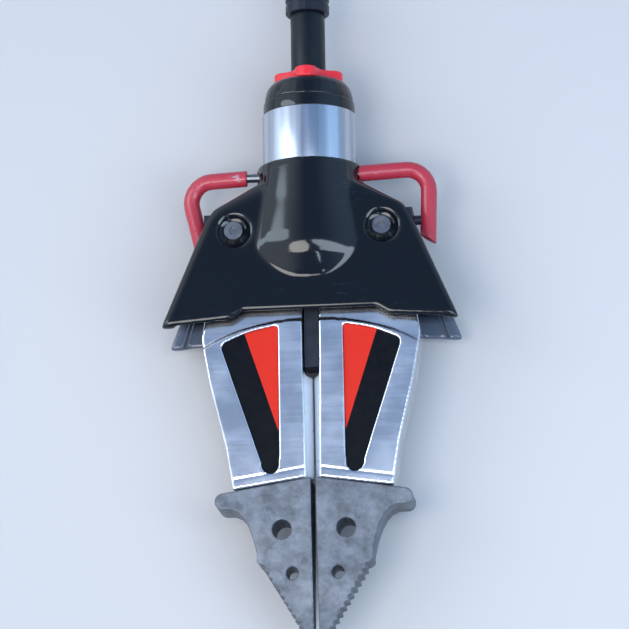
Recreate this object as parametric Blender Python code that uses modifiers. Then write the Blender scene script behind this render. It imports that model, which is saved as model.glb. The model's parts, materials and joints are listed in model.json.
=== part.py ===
"""Hydraulic rescue spreader: two arms on a yoke, opened by a piston through a crosshead and two links.

Metres, +Z up, +X to the right, tips towards -Y, tail towards +Y. While it is modelled, the arm pivots lie at
Y = 0 and the middle plane at Z = 0. One parent empty then puts the origin at the bottom centre of the box.
"""

import math

import bmesh
import bpy
from mathutils import Matrix, Vector

# Clearances, and how far a cutting form runs past the face it cuts
SEAT_GAP = 0.0003
RUN_GAP = 0.0004
SEAL_BITE = 0.0001
FILM_GAP = 0.0005
OVERSHOOT = 0.01
EDGE_BREAK = 0.001

# Arm pivots and working range
PIVOT_X = 0.076
OPEN_ANGLE = math.radians(50)
PIVOT_PIN_R = 0.016
BUSH_WALL = 0.0026

# Arms
ARM_HALF = 0.027
ARM_BOSS_R = 0.026
ARM_GAP_X = 0.0085
ARM_WAIST_X = 0.098
ARM_WAIST_Y = -0.040
ARM_SHOULDER_X = 0.112
ARM_SHOULDER_Y = -0.108
ARM_MID_X = 0.104
ARM_MID_Y = -0.157
ARM_LOW_X = 0.0885
ARM_LOW_Y = -0.222
ARM_SHOULDER_ROUND = 0.003
ARM_ROOT_Y = -0.028
ARM_INNER_Y = -0.060
ARM_INNER_END_Y = -0.130
ARM_INNER_LEAN = 0.002
ARM_FOOT_IN = 0.007
ARM_EDGE_ROUND = 0.0035
LOBE_R = 0.014
LEVER = 0.044
LEVER_LEAD = math.radians(12)

# Pocket in the face of each arm, and the panel that lies in it
POCKET_DEPTH = 0.005
POCKET_INNER_X = 0.033
POCKET_TOP_Y = -0.098
POCKET_OUTER_X = 0.0925
POCKET_OUTER_Y = -0.116
POCKET_CROWN = 0.004
POCKET_CROWN_R = 0.12
POCKET_INNER_R = 0.003
POCKET_OUTER_R = 0.006
POCKET_END_R = 0.009
POCKET_END_Y = -0.242
PANEL_T = 0.0012

# Step behind each arm's shoulder, the rib on its inner side, and the groove above its tip
SHOULDER_STEP = 0.004
SHOULDER_REAR_Y = -0.034
SHOULDER_INNER_Y = -0.0925
SHOULDER_OUTER_Y = -0.128
SHOULDER_PULL_X = 0.077
RIB_EDGE_X = 0.0008
RIB_EDGE_HALF = 0.002
RIB_NOSE_AIR = 0.008
BAND_WIDTH = 0.009
GROOVE_WIDTH = 0.0022
GROOVE_DEPTH = 0.001

# Tips
TIP_HALF = 0.024
TIP_POINT_HALF = 0.009
TIP_TOP_Y = -0.255
TIP_TOP_SLOPE = 0.146
TIP_INNER_X = 0.0026
TIP_TAPER_Y = -0.300
TIP_END_Y = -0.432
TIP_HORN_X = 0.1005
TIP_HORN_R = 0.0085
TIP_NECK_X = 0.0585
TIP_NECK_Y = -0.340
TIP_BROW_X = 0.066
TIP_BROW_Y = -0.290
TIP_NOSE_X = 0.0143
TIP_NOSE_Y = -0.4126
TOOTH_COUNT = 11
TOOTH_UNDERCUT = 0.0014
TIP_END_FLAT = 0.0035
TIP_HOLE_X = 0.0325
TIP_HOLE_Y = -0.308
TIP_HOLE_R = 0.010
TIP_SMALL_HOLE_X = 0.023
TIP_SMALL_HOLE_Y = -0.352
TIP_SMALL_HOLE_R = 0.0065
TONGUE_INNER_X = 0.024
TONGUE_OUTER_X = 0.062
TONGUE_LENGTH = 0.030
TONGUE_HALF = 0.012
TIP_PIN_R = 0.004
TIP_PIN_DEPTH = 0.024
TIP_PIN_INSET = 0.0015

# Links and crosshead
CROSS_PIN_X = 0.020
CROSS_PIN_Y = 0.044
CROSS_PIN_R = 0.007
CROSS_EYE_R = 0.011
LINK_PIN_R = 0.0075
LINK_HALF = 0.0088
LINK_EYE_R = 0.014
OPEN_PIVOT_PLAY = 0.0023
LINK_EYE_OFFSET_X = -0.00224
LINK_EYE_OFFSET_Y = -0.00035
SLIDE_PER_RADIAN = 0.04584
NOSE_HALF_X = 0.0074
NOSE_HALF_Z = 0.015
NOSE_LENGTH = 0.197

# Cylinder
BARREL_R = 0.051
BARREL_WALL = 0.011
FLANGE_Y = 0.0573
FLANGE_T = 0.010
GLAND_WALL = 0.0113
GLAND_LENGTH = 0.0142
ROD_R = 0.018
ROD_SPIGOT_R = 0.010
ROD_SCREW_R = 0.005
ROD_SCREW_LENGTH = 0.012
ROD_FRONT_AIR = 0.0022
PISTON_T = 0.018
PISTON_NUT_R = 0.014
PISTON_NUT_T = 0.006
PISTON_REAR_AIR = 0.0017
SEAL_WIDTH = 0.005
SEAL_FROM_FRONT = 0.004
SEAL_DEPTH = 0.0034

# Rear head, star grip and tail
HEAD_R = 0.0465
HEAD_REAR_R = 0.0375
HEAD_LENGTH = 0.0217
NECK_R = 0.0137
NECK_BORE_R = 0.005
NECK_SEAT_DEPTH = 0.020
HEAD_SPIGOT = 0.002
SPRING_POCKET_R = 0.022
SPRING_POCKET_DEPTH = 0.012
SPRING_WIRE_T = 0.0014
SPRING_AIR = 0.0026
SPRING_TURNS = 3
GRIP_T = 0.012
HUB_DEPTH = 0.0035
STAR_MID_R = 0.0295
STAR_LOBE = 0.0065
STAR_LOBES = 4
TAIL_R = 0.018
TAIL_LENGTH = 0.064
TAIL_SOCKET_DEPTH = 0.018
TAIL_BORE_R = 0.008
SLEEVE_R = 0.023
SLEEVE_LENGTH = 0.024
SLEEVE_GROOVE = 0.0015
SLEEVE_GROOVE_FROM = 0.009
SLEEVE_GROOVE_WIDTH = 0.005
NIPPLE_R = 0.0155
NIPPLE_LENGTH = 0.052
NIPPLE_BORE_R = 0.0095
NIPPLE_GROOVE_FROM = 0.009
NIPPLE_GROOVE_WIDTH = 0.008
NIPPLE_GROOVE = 0.002
POPPET_R = 0.0085
POPPET_LENGTH = 0.012
POPPET_TRAVEL = 0.004
POPPET_SPARE = 0.005
POPPET_CONE = 0.003

# Yoke
YOKE_PLATE_T = 0.0058
YOKE_RIM_R = 0.0245
YOKE_REAR_X = 0.035
YOKE_REAR_Y = 0.0415
YOKE_FRONT_Y = -0.044
WEB_AIR = 0.0014
WEB_T = 0.0036
WEB_HALF_Y = 0.0055

# Covers
COVER_WALL = 0.0042
COVER_TOP = 0.039
COVER_HUB_R = 0.033
COVER_SHOULDER_Y = 0.056
COVER_REAR_Y = 0.073
WING_X = 0.153
WING_Y = -0.099
WING_CORNER_R = 0.006
FRONT_STEP_OUTER_X = 0.080
FRONT_STEP_INNER_X = 0.068
FRONT_CENTRE_Y = -0.086
FRONT_RAKE = 0.005
COVER_REAR_IN = 0.004
ROUND_FROM = 0.010
INNER_FRONT_REACH = 0.03
EDGE_ROUND = 0.0045
SHOULDER_ROUND = 0.014
BEAK_TOP_Y = -0.018
BEAK_FOOT_Y = -0.050
BEAK_BELOW = 0.012
RECESS_R = 0.017
RECESS_DEPTH = 0.004
CUP_WALL = 0.0022
LIP_Z = 0.0285
SIDE_WALL_END_Y = 0.004
PARTING_GAP = 0.00015

# Pivot bolts
BOLT_R = 0.006
BOLT_HEAD_R = 0.0095
BOLT_HEAD_T = 0.0065
BOLT_SOCKET_R = 0.005
BOLT_SOCKET_DEPTH = 0.004
BOLT_PAST_NUT = 0.002
NUT_R = 0.0105
NUT_T = 0.0065

# Side grips
GRIP_TUBE_R = 0.0085
GRIP_BAR_Z = 0.014
GRIP_END_OUT = {"left": 0.0085, "right": -0.005}
GRIP_CORNER_X = {"left": 0.129, "right": 0.124}
GRIP_CORNER_Y = {"left": 0.062, "right": 0.068}
GRIP_CORNER_Z = 0.005
GRIP_FOOT_X = {"left": 0.1102, "right": 0.1205}
GRIP_FOOT_Y = -0.020
GRIP_BEND_R = 0.022
LEG_STUD_R = 0.005
LEG_STUD_Y = 0.014
LEG_CUT_X = {"left": 0.1165, "right": 0.1147}
LEG_CUT_Y = -0.003
LEG_CUT_ANGLE = {"left": math.radians(44), "right": math.radians(32)}
NOTCH_AIR = 0.0012
STUD_R = 0.0045
STUD_GRIP_DEPTH = 0.012

# Facets
ROUND_SIDES = 20
FINE_SIDES = 32
SMALL_SIDES = 12

# Places that follow from the sizes
STROKE = SLIDE_PER_RADIAN * OPEN_ANGLE
BARREL_BORE_R = BARREL_R - BARREL_WALL
BARREL_Y = FLANGE_Y + FLANGE_T + SEAT_GAP
GLAND_SEAT_R = ROD_R + RUN_GAP + GLAND_WALL
PISTON_Y = FLANGE_Y + GLAND_LENGTH + STROKE + 2 * EDGE_BREAK
ROD_END_Y = PISTON_Y + PISTON_T + 2 * SEAT_GAP + PISTON_NUT_T + EDGE_BREAK / 2
BARREL_LENGTH = ROD_END_Y + PISTON_REAR_AIR + HEAD_SPIGOT - BARREL_Y - SEAT_GAP
HEAD_Y = BARREL_Y + BARREL_LENGTH + SEAT_GAP
GRIP_BAR_Y = FLANGE_Y + FLANGE_T / 2
HEAD_END_Y = HEAD_Y + HEAD_LENGTH
STAR_Y = HEAD_END_Y + RUN_GAP
TAIL_Y = STAR_Y + GRIP_T + RUN_GAP
SLEEVE_Y = TAIL_Y + TAIL_LENGTH + SEAT_GAP
TAIL_END_Y = SLEEVE_Y - SEAT_GAP + NIPPLE_LENGTH
BULGE_R = BARREL_R + SEAT_GAP + COVER_WALL
YOKE_INNER = ARM_HALF + SEAT_GAP
YOKE_OUTER = YOKE_INNER + YOKE_PLATE_T
THROUGH_Z = YOKE_OUTER + OVERSHOOT
STUD_ROOT_X = BARREL_R - BARREL_WALL
NOSE_FRONT_Y = CROSS_PIN_Y + CROSS_EYE_R + ROD_FRONT_AIR - SEAT_GAP - NOSE_LENGTH
ORIGIN_Y = -(TAIL_END_Y + TIP_END_Y) / 2
NOTCH_Y = (SIDE_WALL_END_Y - NOTCH_AIR, LEG_STUD_Y + WEB_HALF_Y + NOTCH_AIR)
WEB_X = PIVOT_X + ARM_BOSS_R + WEB_AIR
BUSH_R = PIVOT_PIN_R + RUN_GAP + BUSH_WALL
BOLT_SEAT_Z = COVER_TOP - RECESS_DEPTH + SEAT_GAP
SIDES = {"left": -1, "right": 1}

parts = bpy.data.collections.new("hydraulic_rescue_spreader")
cutters = bpy.data.collections.new("cutters")
materials = {}
axes = {}


def clear_scene():
    for item in list(bpy.data.objects):
        bpy.data.objects.remove(item, do_unlink=True)
    bpy.context.scene.collection.children.link(parts)
    bpy.context.scene.collection.children.link(cutters)


def finish(name, colour, roughness, metallic=0.0):
    material = bpy.data.materials.new(name)
    material.use_nodes = True
    shader = material.node_tree.nodes["Principled BSDF"]
    shader.inputs["Base Color"].default_value = (*colour, 1.0)
    shader.inputs["Roughness"].default_value = roughness
    shader.inputs["Metallic"].default_value = metallic
    material.diffuse_color = (*colour, 1.0)
    materials[name] = material


def make_finishes():
    finish("black_shell", (0.008, 0.010, 0.016), 0.12)
    finish("black_rubber", (0.012, 0.012, 0.014), 0.6)
    finish("red_paint", (0.55, 0.035, 0.05), 0.3)
    finish("red_plastic", (0.70, 0.030, 0.035), 0.35)
    finish("panel_film", (0.70, 0.045, 0.030), 0.35)
    finish("bright_aluminium", (0.72, 0.76, 0.82), 0.28, 1.0)
    finish("machined_steel", (0.60, 0.62, 0.65), 0.3, 1.0)
    finish("cast_steel", (0.30, 0.32, 0.36), 0.55, 1.0)
    finish("dark_steel", (0.05, 0.055, 0.07), 0.4, 1.0)
    finish("bronze", (0.55, 0.38, 0.18), 0.35, 1.0)


def add_axis(name, place, parent=None):
    """An empty on a joint's axis. What moves with the joint hangs under it."""
    empty = bpy.data.objects.new(name + "_axis", None)
    empty.empty_display_size = 0.02
    parts.objects.link(empty)
    if parent:
        empty.parent = axes[parent][0]
        empty.location = Vector(place) - axes[parent][1]
    else:
        empty.location = place
    axes[name] = (empty, Vector(place))


def add_object(name, data, body, material=None):
    """Put data, modelled in the tool's own coordinates, under the empty of its body."""
    item = bpy.data.objects.new(name, data)
    holder, place = axes[body]
    item.parent = holder
    item.location = -place
    if material:
        parts.objects.link(item)
        data.materials.append(materials[material])
    else:
        cutters.objects.link(item)
        item.hide_render = True
        item.display_type = "WIRE"
    return item


def shade(item, angle=35):
    item.data.shade_smooth()
    item.data.set_sharp_from_angle(angle=math.radians(angle))
    return item


def arc(centre, radius, start, end, steps):
    """Points on an arc, angles in degrees."""
    angles = [math.radians(start + (end - start) * i / steps) for i in range(steps + 1)]
    return [(centre[0] + radius * math.cos(a), centre[1] + radius * math.sin(a)) for a in angles]


def circle(centre, radius, sides=ROUND_SIDES):
    return arc(centre, radius, 0, 360 - 360 / sides, sides - 1)


def rounded(corners, steps=4):
    """A polygon of (x, y, radius) corners with each corner rounded."""
    points = []
    for i, (x, y, radius) in enumerate(corners):
        here = Vector((x, y))
        if radius <= 0:
            points.append((x, y))
            continue
        before = (Vector(corners[i - 1][:2]) - here).normalized()
        after = (Vector(corners[(i + 1) % len(corners)][:2]) - here).normalized()
        half = before.angle(after) / 2
        centre = here + (before + after).normalized() * radius / math.sin(half)
        start = here + before * radius / math.tan(half) - centre
        turn = start.angle_signed(here + after * radius / math.tan(half) - centre)
        for j in range(steps + 1):
            spoke = start.copy()
            spoke.rotate(Matrix.Rotation(-turn * j / steps, 2))
            points.append(tuple(centre + spoke))
    return points


def capsule(first, first_r, second, second_r, steps=8):
    """Outline round two circles and their outer tangents."""
    line = Vector(second) - Vector(first)
    heading = math.degrees(math.atan2(line.y, line.x))
    lean = math.degrees(math.acos((first_r - second_r) / line.length))
    return (arc(second, second_r, heading - lean, heading + lean, steps)
            + arc(first, first_r, heading + lean, heading + 360 - lean, steps))


def sweep(start, pull, end, steps):
    """Points on a smooth curve from start to end, drawn towards pull."""
    points = []
    for i in range(steps + 1):
        t = i / steps
        points.append(tuple((1 - t) ** 2 * a + 2 * t * (1 - t) * b + t ** 2 * c
                            for a, b, c in zip(start, pull, end)))
    return points


def flip(outline, side):
    return [(x * side, y) for x, y in outline]


def mirrored(half):
    """A whole outline from its right half, which runs from rear to front."""
    return half + [(-x, y) for x, y in reversed(half)]


def flat(name, loops, low, high, body, material=None):
    """An extruded outline. Loops after the first are holes."""
    curve = bpy.data.curves.new(name, "CURVE")
    curve.dimensions = "2D"
    curve.fill_mode = "BOTH"
    curve.extrude = (high - low) / 2
    for loop in loops:
        spline = curve.splines.new("POLY")
        spline.points.add(len(loop) - 1)
        spline.use_cyclic_u = True
        for point, (x, y) in zip(spline.points, loop):
            point.co = (x, y, 0, 1)
    return add_mesh_of(name, curve, Matrix.Translation((0, 0, (low + high) / 2)), body, material)


def add_mesh_of(name, curve, place, body, material=None):
    """Turn a curve into a mesh with welded caps, so that it can be cut and joined."""
    guide = bpy.data.objects.new(name + "_guide", curve)
    cutters.objects.link(guide)
    graph = bpy.context.evaluated_depsgraph_get()
    mesh = bpy.data.meshes.new_from_object(guide.evaluated_get(graph))
    bpy.data.objects.remove(guide)
    mesh.materials.clear()
    mesh.transform(place)
    work = bmesh.new()
    work.from_mesh(mesh)
    bmesh.ops.remove_doubles(work, verts=work.verts, dist=1e-6)
    bmesh.ops.recalc_face_normals(work, faces=work.faces)
    work.to_mesh(mesh)
    work.free()
    mesh.name = name
    return shade(add_object(name, mesh, body, material))


def cylinder(name, radius, start, end, body, material=None, sides=ROUND_SIDES, tip_radius=None):
    """A cylinder, or a cone with tip_radius, from start to end."""
    start, end = Vector(start), Vector(end)
    line = end - start
    work = bmesh.new()
    turn = line.to_track_quat("Z", "Y").to_matrix().to_4x4()
    bmesh.ops.create_cone(work, cap_ends=True, segments=sides, radius1=radius,
                          radius2=radius if tip_radius is None else tip_radius, depth=line.length,
                          matrix=Matrix.Translation((start + end) / 2) @ turn)
    mesh = bpy.data.meshes.new(name)
    work.to_mesh(mesh)
    work.free()
    return shade(add_object(name, mesh, body, material))


def box(name, low, high, body, material=None):
    size = Vector(high) - Vector(low)
    middle = (Vector(high) + Vector(low)) / 2
    work = bmesh.new()
    bmesh.ops.create_cube(work, size=1, matrix=Matrix.Translation(middle) @ Matrix.Diagonal((*size, 1)))
    mesh = bpy.data.meshes.new(name)
    work.to_mesh(mesh)
    work.free()
    return add_object(name, mesh, body, material)


def prism(name, corners, run, body):
    """A flat face drawn out along run."""
    work = bmesh.new()
    face = work.faces.new([work.verts.new(corner) for corner in corners])
    grown = bmesh.ops.extrude_face_region(work, geom=[face])
    bmesh.ops.translate(work, vec=run, verts=[v for v in grown["geom"] if isinstance(v, bmesh.types.BMVert)])
    bmesh.ops.recalc_face_normals(work, faces=work.faces)
    mesh = bpy.data.meshes.new(name)
    work.to_mesh(mesh)
    work.free()
    return add_object(name, mesh, body)


def turned(name, profile, body, material=None, sides=ROUND_SIDES):
    """A closed profile of (radius, y), down its outer side first, turned about the tool's long axis."""
    mesh = bpy.data.meshes.new(name)
    points = [(radius, 0, y) for radius, y in profile]
    edges = [(i, (i + 1) % len(points)) for i in range(len(points))]
    mesh.from_pydata(points, edges, [])
    mesh.shade_smooth()
    item = add_object(name, mesh, body, material)
    screw = item.modifiers.new("turn", "SCREW")
    screw.axis = "Z"
    screw.steps = sides
    screw.render_steps = sides
    screw.use_merge_vertices = True
    screw.merge_threshold = 1e-6
    screw.use_smooth_shade = True
    item.rotation_euler.x = -math.pi / 2
    return item


def combine(item, other, operation):
    change = item.modifiers.new(operation.lower() + "_" + other.name, "BOOLEAN")
    change.object = other
    change.operation = operation
    change.solver = "EXACT"


def cut(item, *others):
    for other in others:
        combine(item, other, "DIFFERENCE")
    return item


def join(item, *others):
    for other in others:
        combine(item, other, "UNION")
    return item


def soften(item, width, segments=2, angle=60):
    edge = item.modifiers.new("edges", "BEVEL")
    edge.width = width
    edge.segments = segments
    edge.limit_method = "ANGLE"
    edge.angle_limit = math.radians(angle)
    return item


def hexagon(centre, radius):
    return circle(centre, radius, 6)


def link_pin_place():
    """Centre of the link pin in the right arm's lobe, arms closed."""
    return (PIVOT_X - LEVER * math.cos(LEVER_LEAD), LEVER * math.sin(LEVER_LEAD))


# Covers


def edge_round(y):
    """Radius of the cover's edge, small on the wings and large at the rear shoulders."""
    start = BEAK_FOOT_Y + ROUND_FROM
    share = max(0.0, (y - start) / (COVER_SHOULDER_Y - start))
    return EDGE_ROUND + SHOULDER_ROUND * share ** 3


def cover_outline():
    corner = Vector((WING_X, WING_Y))
    hub = arc((PIVOT_X, 0), COVER_HUB_R, 66, 14, 6)
    along = (Vector(hub[-1]) - corner).normalized() * WING_CORNER_R
    half = [(BARREL_R - COVER_REAR_IN, COVER_SHOULDER_Y), *hub, tuple(corner + along),
            (WING_X - WING_CORNER_R * 0.15, WING_Y + WING_CORNER_R * 0.15), (WING_X - WING_CORNER_R, WING_Y),
            (FRONT_STEP_OUTER_X, WING_Y + FRONT_RAKE), (FRONT_STEP_INNER_X, FRONT_CENTRE_Y)]
    return mirrored(half)


def shrink(outline, distances):
    """Move each point of a clockwise outline inwards, square to its two edges."""
    moved = []
    for i, (x, y) in enumerate(outline):
        here = Vector((x, y))
        into = (here - Vector(outline[i - 1])).normalized()
        out = (Vector(outline[(i + 1) % len(outline)]) - here).normalized()
        normal = Vector((into.y + out.y, -into.x - out.x)).normalized()
        reach = distances[i] / max(0.5, normal.dot(Vector((into.y, -into.x))))
        moved.append((here + normal * reach))
    return moved


def cover_form(name, inset, body, material=None):
    """Solid form of one cover half. The inner form is the same, inset by the wall and open to the front."""
    outline = cover_outline()
    rounds = [max(edge_round(y) - inset, 0.0008) for x, y in outline]
    steps = 4
    work = bmesh.new()
    rings = []
    levels = [(0.0, PARTING_GAP if inset == 0 else -2 * EDGE_BREAK)]
    levels += [(90 * i / steps, None) for i in range(steps + 1)]
    for angle, height in levels:
        lean = math.radians(angle)
        distances = [inset + r * (1 - math.cos(lean)) for r in rounds]
        ring = []
        for (x, y), r in zip(shrink(outline, distances), rounds):
            z = COVER_TOP - inset - r * (1 - math.sin(lean)) if height is None else height
            if inset > 0 and y < FRONT_CENTRE_Y + 2 * OVERSHOOT:
                y -= INNER_FRONT_REACH
            ring.append(work.verts.new((x, y, z)))
        rings.append(ring)
    for lower, upper in zip(rings, rings[1:]):
        for i in range(len(lower)):
            j = (i + 1) % len(lower)
            work.faces.new((lower[j], lower[i], upper[i], upper[j]))
    work.faces.new(rings[0])
    work.faces.new(reversed(rings[-1]))
    mesh = bpy.data.meshes.new(name)
    work.to_mesh(mesh)
    work.free()
    return shade(add_object(name, mesh, body, material))


def bulge_form(name, inset, rear, floor, body):
    """Half-round bulge over the cylinder. Its front is coned down into the cover's top as a beak."""
    fall = (BULGE_R - COVER_TOP) / (BEAK_TOP_Y - BEAK_FOOT_Y)
    foot_y = BEAK_FOOT_Y - BEAK_BELOW
    lean = math.atan(fall)
    top_y = BEAK_TOP_Y + inset * math.tan(lean / 2)
    radius = BULGE_R - inset
    work = bmesh.new()
    rings = []
    for y, r in ((foot_y, radius - fall * (top_y - foot_y)), (top_y, radius), (rear, radius)):
        low = math.degrees(math.asin(floor / r))
        rings.append([work.verts.new((x, y, z)) for x, z in arc((0, 0), r, low, 180 - low, FINE_SIDES // 2)])
    for front, back in zip(rings, rings[1:]):
        for i in range(len(front)):
            j = (i + 1) % len(front)
            work.faces.new((front[i], front[j], back[j], back[i]))
    work.faces.new(reversed(rings[0]))
    work.faces.new(rings[-1])
    bmesh.ops.recalc_face_normals(work, faces=work.faces)
    mesh = bpy.data.meshes.new(name)
    work.to_mesh(mesh)
    work.free()
    return shade(add_object(name, mesh, body))


def make_cover(name, body):
    """One half of the clamshell, modelled as the upper one."""
    cover = cover_form(name, 0, body, "black_shell")
    join(cover, bulge_form(name + "_bulge", 0, COVER_REAR_Y, PARTING_GAP, body))
    cut(cover, cover_form(name + "_inside", COVER_WALL, body),
        bulge_form(name + "_bulge_inside", COVER_WALL, COVER_REAR_Y + OVERSHOOT, -EDGE_BREAK, body))
    floor = YOKE_OUTER + SEAT_GAP
    above = COVER_TOP + OVERSHOOT
    for word, side in SIDES.items():
        x = PIVOT_X * side
        join(cover, cylinder(f"{name}_{word}_cup", RECESS_R + CUP_WALL, (x, 0, floor),
                             (x, 0, COVER_TOP - COVER_WALL / 2), body))
        cut(cover, cylinder(f"{name}_{word}_recess", RECESS_R, (x, 0, COVER_TOP - RECESS_DEPTH), (x, 0, above),
                            body),
            cylinder(f"{name}_{word}_bolt_hole", BOLT_R + SEAT_GAP, (x, 0, 0), (x, 0, above), body,
                     sides=SMALL_SIDES))
        ends = sorted((side * (PIVOT_X + YOKE_RIM_R - LEG_STUD_R), side * WING_X))
        cut(cover, box(f"{name}_{word}_web_notch", (ends[0], NOTCH_Y[0], -OVERSHOOT),
                       (ends[1], NOTCH_Y[1], YOKE_OUTER + EDGE_BREAK / 2), body))
    reach = WING_X + OVERSHOOT
    cut(cover, box(name + "_side_opening", (-reach, WING_Y - OVERSHOOT, -OVERSHOOT),
                   (reach, SIDE_WALL_END_Y, LIP_Z), body))
    return cover


def make_covers():
    upper = make_cover("upper_cover", "tool")
    for word, side in SIDES.items():
        cut(upper, cylinder(f"upper_cover_{word}_stud_hole", STUD_R + SEAT_GAP,
                            (side * STUD_ROOT_X, GRIP_BAR_Y, GRIP_BAR_Z),
                            (side * (BULGE_R + STUD_GRIP_DEPTH), GRIP_BAR_Y, GRIP_BAR_Z), "tool",
                            sides=SMALL_SIDES))
    make_cover("lower_cover", "underside")


# Yoke and cylinder


def yoke_outline():
    rim = arc((PIVOT_X, 0), YOKE_RIM_R, 56, -60, 12)
    return mirrored([(YOKE_REAR_X, FLANGE_Y + EDGE_BREAK / 2), (YOKE_REAR_X, YOKE_REAR_Y), *rim,
                     (YOKE_REAR_X, YOKE_FRONT_Y + YOKE_PLATE_T), (YOKE_REAR_X / 2, YOKE_FRONT_Y)])


def leg_x(word):
    """X of a side grip's leg where its stud enters it."""
    share = (GRIP_CORNER_Y[word] - LEG_STUD_Y) / (GRIP_CORNER_Y[word] - GRIP_FOOT_Y)
    return GRIP_CORNER_X[word] + (GRIP_FOOT_X[word] - GRIP_CORNER_X[word]) * share


def make_yoke():
    rear = FLANGE_Y + FLANGE_T
    yoke = turned("yoke", [(BARREL_R, rear), (BARREL_R, FLANGE_Y), (GLAND_SEAT_R + SEAT_GAP, FLANGE_Y),
                           (GLAND_SEAT_R + SEAT_GAP, rear)], "tool", "dark_steel", FINE_SIDES)
    for word, low in (("upper", YOKE_INNER), ("lower", -YOKE_OUTER)):
        join(yoke, flat(f"yoke_{word}_plate", [yoke_outline()], low, low + YOKE_PLATE_T, "tool"))
    for word, side in SIDES.items():
        low_y, high_y = LEG_STUD_Y - WEB_HALF_Y, LEG_STUD_Y + WEB_HALF_Y
        ends = sorted((side * WEB_X, side * (WEB_X + WEB_T)))
        top = YOKE_OUTER - EDGE_BREAK
        join(yoke, box(f"yoke_{word}_web", (ends[0], low_y, -top), (ends[1], high_y, top), "tool"))
        for tag, low in (("upper", YOKE_INNER), ("lower", -YOKE_OUTER)):
            ends = sorted((side * (PIVOT_X + YOKE_RIM_R - GRIP_TUBE_R), side * (WEB_X + WEB_T)))
            join(yoke, box(f"yoke_{word}_{tag}_ear", (ends[0], low_y, low),
                           (ends[1], high_y, low + YOKE_PLATE_T), "tool"))
        join(yoke, cylinder(f"yoke_{word}_leg_stud", LEG_STUD_R, (side * (WEB_X + EDGE_BREAK), LEG_STUD_Y, 0),
                            (side * leg_x(word), LEG_STUD_Y, 0), "tool", sides=SMALL_SIDES))
        cut(yoke, cylinder(f"yoke_{word}_pin_hole", PIVOT_PIN_R + SEAT_GAP, (side * PIVOT_X, 0, -THROUGH_Z),
                           (side * PIVOT_X, 0, THROUGH_Z), "tool"),
            cylinder(f"yoke_{word}_stud_hole", STUD_R + SEAT_GAP,
                     (side * (STUD_ROOT_X - SEAT_GAP), GRIP_BAR_Y, GRIP_BAR_Z),
                     (side * (BARREL_R + OVERSHOOT), GRIP_BAR_Y, GRIP_BAR_Z), "tool", sides=SMALL_SIDES))


def make_cylinder():
    rear = BARREL_Y + BARREL_LENGTH
    turned("barrel", [(BARREL_R - EDGE_BREAK, rear), (BARREL_R, rear - EDGE_BREAK), (BARREL_R, BARREL_Y),
                      (BARREL_BORE_R, BARREL_Y), (BARREL_BORE_R, rear)],
           "tool", "bright_aluminium", FINE_SIDES)
    front = FLANGE_Y + EDGE_BREAK
    lip = BARREL_Y + SEAT_GAP
    end = front + GLAND_LENGTH
    groove = front + SEAL_FROM_FRONT
    bore = ROD_R + RUN_GAP
    seal_r = bore + SEAL_DEPTH
    turned("gland", [(BARREL_BORE_R - SEAT_GAP, end), (BARREL_BORE_R - SEAT_GAP, lip), (GLAND_SEAT_R, lip),
                     (GLAND_SEAT_R, front), (bore, front), (bore, groove), (seal_r, groove),
                     (seal_r, groove + SEAL_WIDTH), (bore, groove + SEAL_WIDTH), (bore, end)],
           "tool", "bronze")
    make_seal("rod_seal", seal_r - SEAT_GAP, bore - SEAL_BITE, groove, "tool")


def make_seal(name, outer, inner, groove, body):
    """Square ring in a groove of SEAL_WIDTH that starts at groove."""
    front, rear = groove + SEAT_GAP, groove + SEAL_WIDTH - SEAT_GAP
    turned(name, [(outer, rear), (outer, front), (inner, front), (inner, rear)], body, "black_rubber")


def make_rod_group():
    spigot_r = ROD_SPIGOT_R
    rod_front = CROSS_PIN_Y + CROSS_EYE_R + ROD_FRONT_AIR
    step = PISTON_Y
    nut_front = step + PISTON_T + 2 * SEAT_GAP
    rod_end = ROD_END_Y
    rod = turned("piston_rod", [(0, rod_end), (spigot_r, rod_end), (spigot_r, step), (ROD_R, step),
                                (ROD_R, rod_front + EDGE_BREAK), (ROD_R - EDGE_BREAK, rod_front),
                                (ROD_SCREW_R, rod_front), (ROD_SCREW_R, rod_front - ROD_SCREW_LENGTH),
                                (0, rod_front - ROD_SCREW_LENGTH)], "rod", "machined_steel")
    open_profile(rod)
    groove = step + (PISTON_T - SEAL_WIDTH) / 2
    outer = BARREL_BORE_R - RUN_GAP
    base = outer - SEAL_DEPTH
    front, rear = step + SEAT_GAP, step + SEAT_GAP + PISTON_T
    turned("piston", [(outer, rear), (outer, groove + SEAL_WIDTH), (base, groove + SEAL_WIDTH), (base, groove),
                      (outer, groove), (outer, front), (spigot_r + SEAT_GAP, front),
                      (spigot_r + SEAT_GAP, rear)], "rod", "bright_aluminium")
    make_seal("piston_seal", outer + SEAL_BITE, base + SEAT_GAP, groove, "rod")
    nut = cylinder("piston_nut", PISTON_NUT_R, (0, nut_front, 0), (0, nut_front + PISTON_NUT_T, 0), "rod",
                   "machined_steel", sides=6)
    cut(nut, cylinder("piston_nut_hole", spigot_r + SEAT_GAP, (0, nut_front - OVERSHOOT, 0),
                      (0, rod_end + OVERSHOOT, 0), "rod"))
    make_crosshead(rod_front)


def open_profile(item):
    """Take the edge along the axis out of a turned solid's profile, so that its ends close to a point."""
    mesh = item.data
    work = bmesh.new()
    work.from_mesh(mesh)
    on_axis = [e for e in work.edges if all(abs(v.co.x) < 1e-9 for v in e.verts)]
    bmesh.ops.delete(work, geom=on_axis, context="EDGES")
    work.to_mesh(mesh)
    work.free()


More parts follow.
